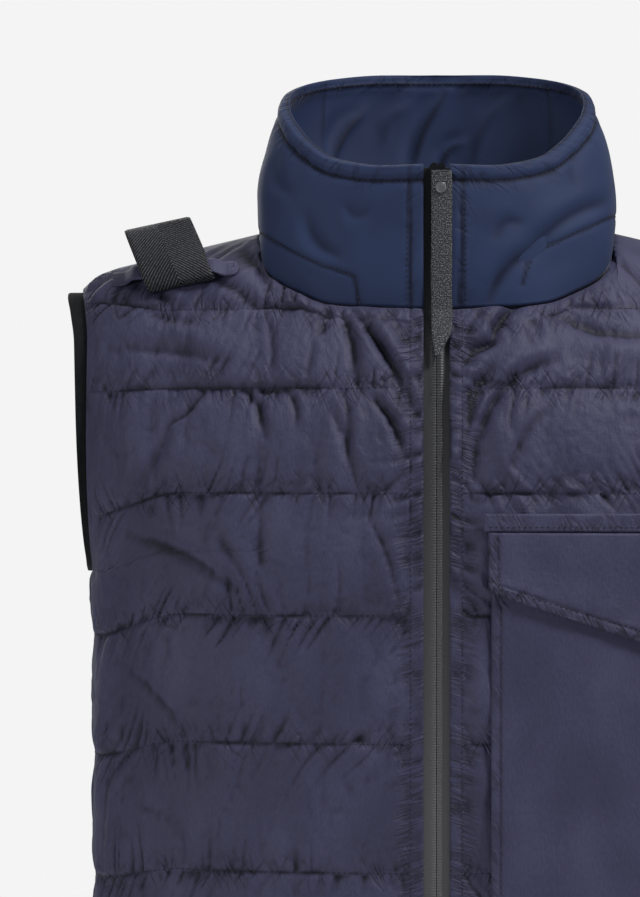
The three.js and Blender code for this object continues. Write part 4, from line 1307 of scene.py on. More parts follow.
def make_pocket_body():
    x, z = plane_grid(POCKET["inner"], POCKET["outer"], POCKET["top"], POCKET["bottom"], 168, 100)
    sides = np.minimum(x - POCKET["inner"], POCKET["outer"] - x)
    relief = hem_relief(sides, z, 301, 0.35) + hem_relief(z - POCKET["bottom"], x, 303, 0.4)
    calm = noise_field(x / 38, z / 60 + 30, 305) + 0.4 * noise_field(x / 16, z / 25 + 30, 306)
    relief = relief + 0.8 * calm
    thing, outer = patch("pocket_patch", x, z, POCKET_LIFT, POCKET["thickness"], relief)
    mark(thing, "hemmed", 0.5 * smoothstep(sides, HEM_STITCH + 2, HEM_STITCH - 1))
    mark(thing, "hollow", hollow_share(relief))
    return thing, outer


def flap_bottom(x):
    return FLAP["top"] - FLAP["drop"] - FLAP["slope"] * (x - FLAP["inner"])


def make_flap():
    x, z = plane_grid(FLAP["inner"], FLAP["outer"], FLAP["top"], flap_bottom, 72, 120)
    from_bottom = (z - flap_bottom(x)) * math.cos(math.atan(FLAP["slope"]))
    from_side = np.minimum(x - FLAP["inner"], FLAP["outer"] - x)
    relief = hem_relief(from_bottom, x, 311, 1.0) + hem_relief(from_side, z, 313, 0.7)
    calm = noise_field(x / 30, z / 22 + 30, 315) + 0.5 * noise_field(x / 12, z / 14 + 30, 316)
    hanging = FLAP_HANG * (1 - smoothstep(from_bottom, 0, FLAP_HANG_OVER))
    relief = relief + 0.7 * calm
    thing, outer = patch("pocket_flap_cloth", x, z, FLAP_LIFT + hanging, FLAP["thickness"], relief)
    at_hem = smoothstep(np.minimum(from_bottom, from_side), HEM_STITCH + 2, HEM_STITCH - 1)
    mark(thing, "hemmed", at_hem)
    mark(thing, "hollow", hollow_share(relief))
    return thing, outer


def make_welt():
    x, z = plane_grid(WELT["inner"], WELT["outer"], WELT["top"], WELT["bottom"], 12, 120)
    tucks = 0.3 * noise_line(x, 4.4, 321) + 0.25 * noise_line(x, 9.5, 322)
    thing, outer = patch("pocket_welt_cloth", x, z, FLAP_LIFT, WELT["thickness"], tucks)
    mark(thing, "hemmed", 0.6 + 0 * x)
    return thing, outer


pocket, pocket_outer = make_pocket_body()
flap, flap_outer = make_flap()
welt, welt_outer = make_welt()
print("pocket pieces:", [len(p.data.polygons) for p in (pocket, flap, welt)], "faces")


# %% [markdown]
# The armhole bindings
#
# A strip of matte stretch cloth is folded round each armhole and hugs the panels' cut edge. It is
# made as a ring of rounded sections, one at each row of the panels, wider at the shoulder than
# under the arm. Its slight stretch puckers come from an uneven line along the ring.

# %% Bands
BAND_TUCK, BAND_THICKNESS, BAND_GAP = 4, 1.8, 0.4
BAND_TOP, BAND_BOTTOM = 9, 3.2
BAND_SECTION_POINTS = 28


def edge_of(points, normals, fill, sides):
    keep = sides >= UNDERARM_Z - SEAM_SLACK
    corner = points[keep, -1] - normals[keep, -1] * WALL
    rim = points[keep, -1] + normals[keep, -1] * (fill[keep, -1] * PUFF)[:, None]
    return corner, rim, sides[keep]


def rounded_strip(count):
    """A flat section with round ends: across from 0 to 1, and through from 0 to 1."""
    turn = np.linspace(0, 2 * math.pi, count, endpoint=False)
    power = 0.32
    across = np.sign(np.cos(turn)) * np.abs(np.cos(turn)) ** power
    through = np.sign(np.sin(turn)) * np.abs(np.sin(turn)) ** power
    return (across + 1) / 2, (through + 1) / 2


def make_band(name, side):
    front = edge_of(front_points, front_normals, front_fill, front_sides)
    back = edge_of(back_points, back_normals, back_fill, back_sides)
    corner = np.concatenate([front[0][::-1], back[0][1:-1]])
    rim = np.concatenate([front[1][::-1], back[1][1:-1]])
    heights = np.concatenate([front[2][::-1], back[2][1:-1]])
    middle = np.array([RIDGE_Y / 2, ARMHOLE_MIDDLE_Z])
    inward = middle - corner[:, 1:]
    inward /= np.linalg.norm(inward, axis=1, keepdims=True)
    shoulder = float(shoulder_height(SHOULDER_REACH))
    width = mix(BAND_BOTTOM, BAND_TOP, (heights - UNDERARM_Z) / (shoulder - UNDERARM_Z))
    near, far = corner[:, 0] - BAND_TUCK, rim[:, 0] + width
    across, through = rounded_strip(BAND_SECTION_POINTS)
    length = length_along(corner)
    tuck = 0.22 * noise_line(length, 4.2, 331) + 0.2 * noise_line(length, 9, 332)
    x = near[:, None] + (far - near)[:, None] * across
    depth = BAND_GAP + BAND_THICKNESS * through + (tuck[:, None] * (through > 0.5) * 0.6)
    y = corner[:, 1:2] + inward[:, :1] * depth
    z = corner[:, 2:3] + inward[:, 1:2] * depth
    uv = np.stack([x - near[:, None], length[:, None] + x * 0], axis=2) * MM
    band = closed_loop(name, np.stack([side * x, y, z], axis=2), uv)
    band_round = float(length[-1] + np.linalg.norm(corner[0] - corner[-1]))
    return band, float((far - near).mean()), band_round


right_band, band_width, band_round = make_band("armhole_binding_right", -1)
left_band, band_width, band_round = make_band("armhole_binding_left", 1)
print(right_band.name, len(right_band.data.polygons), "faces")


# %% [markdown]
# The webbing ring and its keeper
#
# A ring of stiff woven webbing stands on the wearer's right shoulder, threaded on a narrow strip
# of the shell cloth that is sewn down at both ends. The ring leans outwards, so each side of it
# is skewed. It keeps its plain flat section all the way round.

# %% Ring
RING_X, RING_WIDTH, RING_THICKNESS = 146.6, 38.5, 2
RING_LEAN, RING_SLOPE, RING_SKEW, RING_FOOT_Z = 0.44, 0.2, 0.22, -30
RING_PATH = (
    (-44, -24.2), (-50, -29.7), (-53.5, -30.7), (-55.5, -27.4), (-53.3, -20.7), (-46, -10.4),
    (-36.8, -1), (-30.2, 3.8), (-24.5, 4.3), (-21.8, 0.7), (-22.6, -8.6), (-30.3, -15.1),
)
RING_SMOOTH, RING_ACROSS = 10, 24
SELVEDGE_RIDGE = 0.18


def smooth_ring(points, steps):
    """A closed smooth line through the points, the same number of steps between each two."""
    p = np.array(points, float)
    before, after, beyond = np.roll(p, 1, 0), np.roll(p, -1, 0), np.roll(p, -2, 0)
    t = np.linspace(0, 1, steps, endpoint=False)[None, :, None]
    p0, p1, p2, p3 = (v[:, None, :] for v in (before, p, after, beyond))
    line = (
        2 * p1 + (p2 - p0) * t + (2 * p0 - 5 * p1 + 4 * p2 - p3) * t**2
        + (3 * p1 - p0 - 3 * p2 + p3) * t**3
    )
    return (line / 2).reshape(-1, 2)


def make_ring():
    path = smooth_ring(RING_PATH, RING_SMOOTH)
    along = np.roll(path, -1, 0) - np.roll(path, 1, 0)
    along /= np.linalg.norm(along, axis=1, keepdims=True)
    outward = np.stack([-along[:, 1], along[:, 0]], axis=1)
    across = np.linspace(-1, 1, RING_ACROSS + 1)
    half = RING_THICKNESS / 2 * np.sqrt(1 - np.abs(across) ** 12 * 0.8)
    ridge = SELVEDGE_RIDGE * near_line(np.abs(across) - 0.9, 0.06)
    skin = np.concatenate([half + ridge, -(half[::-1] + ridge[::-1])])
    place = np.concatenate([across, across[::-1]]) * RING_WIDTH / 2
    spot = path[:, None, :] + outward[:, None, :] * skin[None, :, None]
    x = RING_X + place + RING_LEAN * (spot[..., 1] - RING_FOOT_Z)
    y = spot[..., 0] + RING_SKEW * place
    z = spot[..., 1] - RING_SLOPE * place
    length = length_along(path)
    uv = np.stack([place + x * 0, length[:, None] + x * 0], axis=2) * MM
    ring_length = float(length[-1] + np.linalg.norm(path[0] - path[-1]))
    return closed_loop("webbing_ring", np.stack([-x, y, z], axis=2), uv), ring_length


ring, ring_round = make_ring()
print(ring.name, len(ring.data.polygons), "faces")


# %% Keeper strip
KEEPER = {"inner": 112.3, "outer": 186, "middle": -24.4, "drop": 0.08, "width": 7.6}
KEEPER_THICKNESS, KEEPER_OVER_RING, KEEPER_RAMP, KEEPER_PAST = 1.4, 3.6, 8, 6
KEEPER_ROUND = 4


def make_keeper():
    columns, rows = 150, 14
    x = np.broadcast_to(np.linspace(KEEPER["inner"], KEEPER["outer"], columns + 1),
                        (rows + 1, columns + 1)).copy()
    end = np.clip((x - KEEPER["inner"]) / KEEPER_ROUND, 0, 1)
    round_end = np.sqrt(np.maximum(0.02, 1 - (1 - end) ** 2))
    across = np.linspace(0.5, -0.5, rows + 1)[:, None]
    z = KEEPER["middle"] - KEEPER["drop"] * (x - KEEPER["inner"])
    z = z + across * KEEPER["width"] * round_end
    start, finish = RING_X - RING_WIDTH / 2, RING_X + RING_WIDTH / 2 + KEEPER_PAST
    rise = smoothstep(x, start - KEEPER_RAMP, start)
    fall = 1 - smoothstep(x, finish, finish + KEEPER_RAMP)
    lift = PUFF + 0.5 + KEEPER_OVER_RING * rise * fall
    crown = 0.5 * (1 - (2 * across) ** 4) + 0.15 * noise_line(x + 3 * across, 5, 341)
    uv = np.stack([x, z], axis=2) * MM
    outer = mirror_x(over_front(x, z, lift + KEEPER_THICKNESS - 0.4 + crown))
    inner = mirror_x(over_front(x, z, lift))[::PATCH_COARSER, ::PATCH_COARSER]
    return wall("keeper_strip", outer, inner, uv), outer


keeper, keeper_outer = make_keeper()
print(keeper.name, len(keeper.data.polygons), "faces")


# %% [markdown]
# Stitches
#
# Every stitch is a short piece of thread that dives into the cloth at both ends. One stitch is a
# slim spindle of four sides. It is repeated along each line of points on the finished cloth, and
# all the stitches of one panel are joined in one mesh.

# %% A row of stitches along a line
STITCH_PITCH, STITCH_LENGTH, STITCH_HALF = 3.2, 2.4, 0.26
STITCH_RINGS = ((0.0, 0.12, -0.25), (0.3, 1.0, 0.16), (0.7, 1.0, 0.16), (1.0, 0.12, -0.25))
STITCH_SIDES = 4
STITCH_POINTS = STITCH_SIDES * len(STITCH_RINGS)


def at_length(rows, length, at):
    return np.stack([np.interp(at, length, rows[:, k]) for k in range(3)], axis=1)


def evenly(path, normals, pitch):
    """Both ends of each stitch along a line, and the outward direction at its middle."""
    length = length_along(path)
    count = max(1, int(length[-1] / pitch))
    starts = (np.arange(count) + 0.15) * pitch
    first = at_length(path, length, starts)
    last = at_length(path, length, starts + STITCH_LENGTH)
    up = at_length(normals, length, starts + STITCH_LENGTH / 2)
    return first, last, up / np.linalg.norm(up, axis=1, keepdims=True)


def stitch_points(path, normals):
    first, last, up = evenly(path, normals, STITCH_PITCH)
    along = last - first
    across = np.cross(along, up)
    across /= np.maximum(np.linalg.norm(across, axis=1, keepdims=True), 1e-9)
    rings = []
    for place, size, height in STITCH_RINGS:
        centre = first + along * place + up * height
        half = STITCH_HALF * size
        rings.append(np.stack([
            centre + across * half, centre + up * half, centre - across * half, centre - up * half,
        ], axis=1))
    return np.stack(rings, axis=1)


def stitch_faces(count):
    """The sides between the rings of each stitch, and its two ends."""
    faces = []
    for base in range(0, count * STITCH_POINTS, STITCH_POINTS):
        last = base + STITCH_POINTS
        for low in range(base, last - STITCH_SIDES, STITCH_SIDES):
            high = low + STITCH_SIDES
            for m in range(STITCH_SIDES):
                n = (m + 1) % STITCH_SIDES
                faces.append((low + m, low + n, high + n, high + m))
        faces.append((base + 3, base + 2, base + 1, base))
        faces.append((last - 4, last - 3, last - 2, last - 1))
    return faces


def make_stitches(name, lines):
    sets = [stitch_points(*line) for line in lines]
    points = np.concatenate(sets)
    thing = new_object(name, points, stitch_faces(len(points)))
    return face_out(thing, signed_volume(thing) < 0)


def outward_normals(grid):
    normals = grid_normals(grid, 1)
    middle = grid.mean(axis=(0, 1)) * np.array([0, 0, 1])
    if np.einsum("ijk,ijk->ij", grid - middle, normals).mean() < 0:
        normals = -normals
    return normals


TOP_LINE_PAST = 8


def top_line_parts(x, start):
    """The stitched columns of the top line: one stretch on a front, two on the back."""
    picked = np.flatnonzero(np.abs(x) > TOP_LINE_FADE[0] + TOP_LINE_PAST)
    if start:
        return [picked]
    return [picked[x[picked] < 0], picked[x[picked] > 0]]


def panel_lines(grid, uppers, shares, start=0):
    """The quilting of a panel, and on a front the line beside the zip, at column start."""
    normals = outward_normals(grid)
    lines = []
    for row in line_rows(uppers, shares):
        parts = [slice(start, None)]
        if uppers[row] == 0:
            parts = top_line_parts(grid[row, :, 0], start)
        lines += [(grid[row, part], normals[row, part]) for part in parts]
    if start:
        lines.append((grid[:, start], normals[:, start]))
    return lines


right_lines = panel_lines(right_outer, front_upper, front_share, STRIP_STEPS)
left_lines = panel_lines(left_outer, front_upper, front_share, STRIP_STEPS)
back_lines = panel_lines(back_outer, back_upper, back_share)
right_sewing = make_stitches("sewing_front_right", right_lines)
left_sewing = make_stitches("sewing_front_left", left_lines)
back_sewing = make_stitches("sewing_back", back_lines)
print("stitches:",
      [len(s.data.vertices) // STITCH_POINTS for s in (right_sewing, left_sewing, back_sewing)])


# %% Sewing of the collar, the pocket and the keeper
def nearest_line(grid, normals, distance, limit):
    """For each column of the grid, the row that lies nearest to a line, where it is near."""
    picked = distance.argmin(axis=0)
    columns = np.flatnonzero(distance.min(axis=0) < limit)
    return grid[picked[columns], columns], normals[picked[columns], columns]


def collar_lines():
    normals = outward_normals(collar_outer)
    row = int(np.abs(collar_share - TOPSTITCH_SHARE).argmin())
    x = collar_outer[row, :, 0]
    front = collar_outer[row, :, 1] < RIM_CENTRE_Y
    across = np.flatnonzero((np.abs(x) > TOPSTITCH_FROM_X) | ~front)
    lines = [(collar_outer[row, across], normals[row, across])]
    for side in (-1, 1):
        column = int(np.argmin(np.abs(x - side * ZIP_SEAM_X) + FAR * ~front))
        lines.append((collar_outer[:row, column], normals[:row, column]))
    turned = int(np.abs(below_rim(collar_share) - RIM_TURN).argmin())
    at_back = collar_inner[turned, :, 1] > RIM_CENTRE_Y
    lines.append((collar_inner[turned, at_back], -collar_outward[turned, at_back]))
    for seam in (PANEL_SEAM_RIGHT, PANEL_SEAM_LEFT):
        away = near_path(collar_outer[..., 0], collar_outer[..., 2], seam)
        away = away + FAR * (collar_outer[..., 1] > RIM_CENTRE_Y + PAST_MIDDLE)
        lines.append(nearest_line(collar_outer, normals, away, 1.6))
    return lines


def border_lines(outer, down, across, sides=("left", "right", "bottom")):
    normals = outward_normals(outer)
    lines = []
    for side in sides:
        if side == "left":
            lines.append((outer[:-down, across], normals[:-down, across]))
        elif side == "right":
            lines.append((outer[:-down, -1 - across], normals[:-down, -1 - across]))
        else:
            row = -1 - down
            lines.append((outer[row, across:-across], normals[row, across:-across]))
    return lines


collar_sewing = make_stitches("sewing_collar", collar_lines())
pocket_sewing = make_stitches(
    "sewing_pocket",
    border_lines(pocket_outer, 4, 4) + border_lines(flap_outer, 8, 5)
    + border_lines(welt_outer, 3, 2, ("bottom",)),
)
keeper_sewing = make_stitches("sewing_keeper", border_lines(keeper_outer, 3, 6, ("left",)))
print("collar and pocket stitches:",
      [len(s.data.vertices) // STITCH_POINTS for s in (collar_sewing, pocket_sewing)])


# %% [markdown]
# Finishes
#
# Each finish starts from what the cloth is and how it was made. The thread counts are finer than
# one pixel, so the weave is drawn a little coarser than it is. All patterns follow the cloth's
# own map, which is laid out in metres along the surface, so they keep their size at the sides.

# %% One helper for nodes, one for colours
def linear(text):
    values = [int(text[k:k + 2], 16) / 255 for k in (1, 3, 5)]
    bent = [v / 12.92 if v <= 0.04045 else ((v + 0.055) / 1.055) ** 2.4 for v in values]
    return (*bent, 1.0)


def node(tree, kind, settings=(), values=(), links=()):
    """Adds a node, with its settings, the values of its sockets and the links into them."""
    made = tree.nodes.new(kind)
    for key, value in dict(settings).items():
        setattr(made, key, value)
    for key, value in dict(values).items():
        made.inputs[key].default_value = value
    for key, source in dict(links).items():
        tree.links.new(source, made.inputs[key])
    return made


def finish_of(name, values):
    """A material with only its shader, whose constant values sit on the shader's own sockets."""
    material = bpy.data.materials.new(name)
    material.use_nodes = True
    tree = material.node_tree
    tree.nodes.clear()
    shader = node(tree, "ShaderNodeBsdfPrincipled", values=values)
    node(tree, "ShaderNodeOutputMaterial", links={"Surface": shader.outputs[0]})
    return material, tree, shader


def noise_on(tree, source, scale, detail=3.0, distortion=0.0):
    mapped = node(tree, "ShaderNodeMapping", values={"Scale": scale}, links={"Vector": source})
    values = {"Scale": 1.0, "Detail": detail, "Distortion": distortion}
    links = {"Vector": mapped.outputs[0]}
    return node(tree, "ShaderNodeTexNoise", values=values, links=links).outputs[0]


def ramp(tree, source, stops):
    made = node(tree, "ShaderNodeValToRGB", links={0: source})
    made.color_ramp.elements[0].position, made.color_ramp.elements[0].color = stops[0]
    made.color_ramp.elements[1].position, made.color_ramp.elements[1].color = stops[-1]
    for place, colour in stops[1:-1]:
        made.color_ramp.elements.new(place).color = colour
    return made.outputs[0]


def bumped(tree, shader, layers):
    """Stacks bumps, each with its height in metres, onto the shader's normal."""
    normal = None
    for source, height, strength in layers:
        links = {"Height": source}
        if normal is not None:
            links["Normal"] = normal
        values = {"Distance": height, "Strength": strength}
        normal = node(tree, "ShaderNodeBump", values=values, links=links).outputs[0]
    tree.links.new(normal, shader.inputs["Normal"])


def creases_on(tree, source, mark_name, scale, turn, width):
    """Narrow valleys of painted shade that show only where the mesh is marked, white elsewhere."""
    turned = node(tree, "ShaderNodeMapping", values={"Rotation": (0, 0, turn)},
                  links={"Vector": source})
    uneven = noise_on(tree, turned.outputs[0], scale, 1.5, 0.9)
    line = ramp(tree, uneven, [(0.5 - width, WHITE), (0.5, VALLEY_SHADE), (0.5 + width, WHITE)])
    marked = node(tree, "ShaderNodeAttribute", {"attribute_name": mark_name}).outputs["Fac"]
    patchy = noise_on(tree, source, (60, 60, 1), 1)
    gate = node(tree, "ShaderNodeMapRange", values={"From Min": 0.36, "From Max": 0.56},
                links={0: patchy})
    share = node(tree, "ShaderNodeMath", {"operation": "MULTIPLY"},
                 links={0: marked, 1: gate.outputs[0]})
    mixed = node(tree, "ShaderNodeMix", {"data_type": "RGBA"}, {6: WHITE},
                 {0: share.outputs[0], 7: line})
    return mixed.outputs[2]


def shaded(tree, colour, darkest):
    """Paints shade into a colour in the hollows of the mesh."""
    hollow = node(tree, "ShaderNodeAttribute", {"attribute_name": "hollow"}).outputs["Fac"]
    shade = node(tree, "ShaderNodeMix", {"data_type": "RGBA"}, {6: WHITE, 7: darkest}, {0: hollow})
    return multiplied(tree, colour, shade.outputs[2], 1.0)


def multiplied(tree, first, second, share):
    mixed = node(tree, "ShaderNodeMix", {"data_type": "RGBA", "blend_type": "MULTIPLY"},
                 {0: share}, {6: first, 7: second})
    return mixed.outputs[2]


def cloth_map(tree):
    return node(tree, "ShaderNodeUVMap", {"uv_map": "cloth"}).outputs[0]


def waves_on(tree, source, scale):
    settings = {"wave_type": "BANDS", "bands_direction": "X", "wave_profile": "SIN"}
    values = {"Scale": scale, "Distortion": 0.4, "Detail": 1.0}
    return node(tree, "ShaderNodeTexWave", settings, values, {"Vector": source}).outputs[1]


WHITE, VALLEY_SHADE, CREASE_SHADE = linear("#ffffff"), linear("#3c3c4c"), linear("#5a5c78")
print("navy in linear light:", [round(v, 3) for v in linear("#3f3f5c")[:3]])


# %% Crinkled nylon, calendered taffeta with a crushed finish: soft sheen, fine upright creases
# Mark, scale, turn, width and strength of the painted shade of each kind of narrow crease
CREASES = (
    ("held", (110, 26, 1), 0.5, 0.08, 0.32),
    ("held", (90, 24, 1), -0.6, 0.08, 0.28),
    ("gathered", (40, 290, 1), 0.3, 0.14, 0.45),
    ("hemmed", (300, 60, 1), -0.55, 0.13, 0.7),
)


def crinkled_nylon():
    material, tree, shader = finish_of("crinkled_nylon", {
        "Roughness": 0.63, "Sheen Weight": 0.06, "Sheen Roughness": 0.4, "Specular IOR Level": 0.34,
    })
    cloth = cloth_map(tree)
    # Yarns are 0.1 mm apart, so their slubs are drawn 1.2 mm wide to show at all
    upright = noise_on(tree, cloth, (820, 300, 1), 3, 0.3)
    level = noise_on(tree, cloth, (170, 900, 1), 2, 0.3)
    crushed = noise_on(tree, cloth, (150, 80, 1), 3, 1.2)
    broad = noise_on(tree, cloth, (26, 15, 1), 2)
    stops = [(0.3, linear("#373752")), (0.55, linear("#3f3f5c")), (0.8, linear("#494966"))]
    tone = ramp(tree, broad, stops)
    # Darker where the upright bump lies low: partly the yarns' own tone, partly painted shade in fine
    # creases
    crease = ramp(tree, upright, [(0.35, linear("#c6c6cc")), (0.7, linear("#ffffff"))])
    colour = multiplied(tree, tone, crease, 0.4)
    layers = [(crushed, 0.0014, 0.5), (upright, 0.0005, 0.5), (level, 0.0004, 0.35)]
    for name, scale, turn, width, share in CREASES:
        valleys = creases_on(tree, cloth, name, scale, turn, width)
        # Each crease paints shade into the colour and is a bump as well
        colour = multiplied(tree, colour, valleys, share)
        layers.append((valleys, 0.0011, 0.7))
    tree.links.new(shaded(tree, colour, CREASE_SHADE), shader.inputs["Base Color"])
    bumped(tree, shader, layers)
    return material


# %% Soft shell, a brushed polyester knit bonded to a film: matte, bluer, with a faint nap
def soft_shell():
    material, tree, shader = finish_of("soft_shell_knit", {
        "Roughness": 0.7, "Sheen Weight": 0.12, "Sheen Roughness": 0.4, "Specular IOR Level": 0.25,
    })
    cloth = cloth_map(tree)
    broad = noise_on(tree, cloth, (20, 20, 1), 2)
    tone = ramp(tree, broad, [(0.3, linear("#232f50")), (0.75, linear("#2b395c"))])
    # Knit wales are 0.4 mm apart, drawn at 0.8 mm so that they show close by
    wales = waves_on(tree, cloth, 390)
    grain = noise_on(tree, cloth, (1100, 1100, 1), 2)
    valleys = creases_on(tree, cloth, "held", (120, 46, 1), -0.7, 0.1)
    # The creases paint shade into the colour where the stitches pucker the collar
    colour = multiplied(tree, tone, valleys, 0.3)
    tree.links.new(shaded(tree, colour, CREASE_SHADE), shader.inputs["Base Color"])
    bumped(tree, shader, [(wales, 0.00005, 0.3), (grain, 0.00016, 0.35), (valleys, 0.0008, 0.7)])
    return material


# %% Stretch binding, a matte elastane jersey: almost no gloss, fine ribs along the strip
def stretch_binding():
    material, tree, shader = finish_of("stretch_jersey", {
        "Roughness": 0.9, "Sheen Weight": 0.05, "Specular IOR Level": 0.1,
    })
    cloth = cloth_map(tree)
    tone = ramp(tree, noise_on(tree, cloth, (260, 260, 1), 3),
                [(0.3, linear("#131517")), (0.75, linear("#1c1e20"))])
    tree.links.new(tone, shader.inputs["Base Color"])
    bumped(tree, shader, [(waves_on(tree, cloth, 150), 0.0002, 0.4)])
    return material


# %% Coated zip tape, polyurethane over woven polyester: a smooth satin skin
PAINTED_SHEEN_BELOW, PAINTED_SHEEN_ABOVE = -330, 10


def coated_tape():
    material, tree, shader = finish_of("coated_zip_tape", {
        "Roughness": 0.4, "Specular IOR Level": 0.5,
    })
    cloth = cloth_map(tree)
    height = node(tree, "ShaderNodeSeparateXYZ", links={0: cloth}).outputs[1]
    # Painted sheen: the colour is paler towards the hem and darker at the top
    wear_and_sheen = node(tree, "ShaderNodeMapRange",
                values={"From Min": PAINTED_SHEEN_BELOW * MM, "From Max": PAINTED_SHEEN_ABOVE * MM}, links={0: height})
    tone = ramp(tree, wear_and_sheen.outputs[0], [(0.0, linear("#5b5a5d")), (1.0, linear("#23262a"))])
    tree.links.new(tone, shader.inputs["Base Color"])
    bumped(tree, shader, [(noise_on(tree, cloth, (1400, 1400, 1), 2), 0.00008, 0.4)])
    return material


# %% Grosgrain ribbon, polyester with a heavy weft: matte ribs, pale flecks where it is rubbed
def grosgrain():
    material, tree, shader = finish_of("grosgrain_ribbon", {
        "Roughness": 0.85, "Sheen Weight": 0.1, "Specular IOR Level": 0.25,
    })
    cloth = cloth_map(tree)
    tone = ramp(tree, noise_on(tree, cloth, (1500, 1200, 1), 3),
                [(0.32, linear("#141518")), (0.5, linear("#37383d")), (0.7, linear("#828388"))])
    tree.links.new(tone, shader.inputs["Base Color"])
    bumped(tree, shader, [(noise_on(tree, cloth, (1500, 400, 1), 2), 0.0002, 0.6)])
    return material


# %% Webbing, polypropylene in a herringbone weave: satin yarns that turn at the centre line
def herringbone_webbing():
    material, tree, shader = finish_of("herringbone_webbing", {
        "Roughness": 0.55, "Specular IOR Level": 0.3,
    })
    cloth = cloth_map(tree)
    parts = node(tree, "ShaderNodeSeparateXYZ", links={0: cloth}).outputs
    away = node(tree, "ShaderNodeMath", {"operation": "ABSOLUTE"}, links={0: parts[0]}).outputs[0]
    slant = node(tree, "ShaderNodeMath", {"operation": "ADD"}, links={0: away, 1: parts[1]}).outputs[0]
    # Ribs of the twill are 1.1 mm apart, drawn at 2 mm
    turns = node(tree, "ShaderNodeMath", {"operation": "MULTIPLY"}, {1: 3100.0}, {0: slant}).outputs[0]
    twill = node(tree, "ShaderNodeMath", {"operation": "SINE"}, links={0: turns}).outputs[0]
    flecks = noise_on(tree, cloth, (1300, 1300, 1), 2)
    rib = node(tree, "ShaderNodeMath", {"operation": "MULTIPLY_ADD"}, {1: 0.22}, {0: twill, 2: flecks})
    tone = ramp(tree, rib.outputs[0],
                [(0.3, linear("#08090b")), (0.55, linear("#141519")), (0.76, linear("#585960"))])
    tree.links.new(tone, shader.inputs["Base Color"])
    bumped(tree, shader, [(twill, 0.0004, 0.7)])
    return material


# %% Plated zinc, dark nickel on the snap and black on the slider, dulled by handling
def plated_zinc(name, colour):
    material, tree, shader = finish_of(name, {"Base Color": linear(colour), "Metallic": 1.0})
    place = node(tree, "ShaderNodeTexCoord").outputs["Object"]
    wear_and_sheen = noise_on(tree, place, (700, 700, 700), 3)
    rough = node(tree, "ShaderNodeMapRange", values={"To Min": 0.34, "To Max": 0.5}, links={0: wear_and_sheen})
    tree.links.new(rough.outputs[0], shader.inputs["Roughness"])
    bumped(tree, shader, [(wear_and_sheen, 0.00003, 0.3)])
    return material


# %% Sewing thread, spun polyester, dyed a shade darker than the cloth
def sewing_thread():
    material, tree, shader = finish_of("sewing_thread", {
        "Roughness": 0.7, "Sheen Weight": 0.1, "Specular IOR Level": 0.3,
    })
    place = node(tree, "ShaderNodeTexCoord").outputs["Object"]
    twist = noise_on(tree, place, (2500, 2500, 2500), 2)
    tone = ramp(tree, twist, [(0.3, linear("#14162a")), (0.7, linear("#232538"))])
    tree.links.new(tone, shader.inputs["Base Color"])
    return material


def dress(things, material):
    for thing in things:
        thing.data.materials.clear()
        thing.data.materials.append(material)


thread = sewing_thread()
dress([right_front, left_front, back_panel, pocket, flap, welt, keeper], crinkled_nylon())
dress([collar], soft_shell())
dress([right_band, left_band], stretch_binding())
tape_finish = coated_tape()
dress([right_tape, left_tape], tape_finish)
dress([ribbon], grosgrain())
dress([ring], herringbone_webbing())
dress([snap], plated_zinc("gunmetal_plating", "#8e9195"))
dress([right_sewing, left_sewing, back_sewing, pocket_sewing, keeper_sewing], thread)
dress([collar_sewing], thread)
dress([bpy.data.objects["zip_slider"]], plated_zinc("black_plating", "#34363a"))
dress([bpy.data.objects["zip_coil"]], tape_finish)
print("finishes:", sorted(m.name for m in bpy.data.materials if m.users))


# %% [markdown]
# What each piece stands for
#
# Every piece rides on the one body of the vest and replaces the plain solid that it dresses. Each
# sheet states the size that it was cut to.

# %% Riding, replacing and stating the cut sizes
for piece, nodes in (
    (right_front, ("front_right",)), (left_front, ("front_left",)), (back_panel, ("back",)),
    (collar, ("collar",)), (right_tape, ("zip_tape_right",)), (left_tape, ("zip_tape_left",)),
    (ribbon, ("puller_ribbon",)), (snap, ("puller_snap",)), (pocket, ("pocket_body",)),
    (flap, ("pocket_flap",)), (welt, ("pocket_welt",)), (right_band, ("armhole_band_right",)),
    (left_band, ("armhole_band_left",)), (ring, ("shoulder_loop",)), (keeper, ("loop_keeper",)),
):
    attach(piece, "root")
    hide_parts(*nodes)
for piece in (right_sewing, left_sewing, back_sewing, collar_sewing, pocket_sewing, keeper_sewing):
    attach(piece, "root")


def cut_of(thing, width, length):
    """States the size that a sheet was cut to."""
    print(thing.name, "cut", round(width, 1), "x", round(length, 1), "mm")


def row_lengths(points):
    return arc_along(points)[:, -1]


def over_patch(size, z):
    """Length of a level line over the front, between a patch's two edges."""
    x = np.linspace(size["inner"], size["outer"], 60)[None, :]
    return float(row_lengths(over_front(x, np.full_like(x, z), np.full_like(x, FLAP_LIFT)))[0])


around = row_lengths(collar_points)
upright = row_lengths(collar_points.transpose(1, 0, 2))
cut_of(collar, around.max(), upright.max())
for piece in (right_band, left_band):
    cut_of(piece, band_width, band_round)
for piece in (right_tape, left_tape):
    cut_of(piece, TAPE_HALF, ZIP_TOP - ZIP_BOTTOM)
ribbon_width = RIBBON_RIGHT - RIBBON_LEFT
cut_of(ribbon, ribbon_width, RIBBON_TOP - RIBBON_BOTTOM)
pocket_width = over_patch(POCKET, POCKET_MIDDLE_Z)
cut_of(pocket, pocket_width, POCKET["top"] - POCKET["bottom"])
flap_width = over_patch(FLAP, FLAP["top"])
flap_outer_drop = FLAP["drop"] + FLAP["slope"] * (FLAP["outer"] - FLAP["inner"])
cut_of(flap, flap_width, flap_outer_drop)
cut_of(welt, over_patch(WELT, WELT["top"]), WELT["top"] - WELT["bottom"] + WELT["thickness"])
cut_of(ring, RING_WIDTH, ring_round)
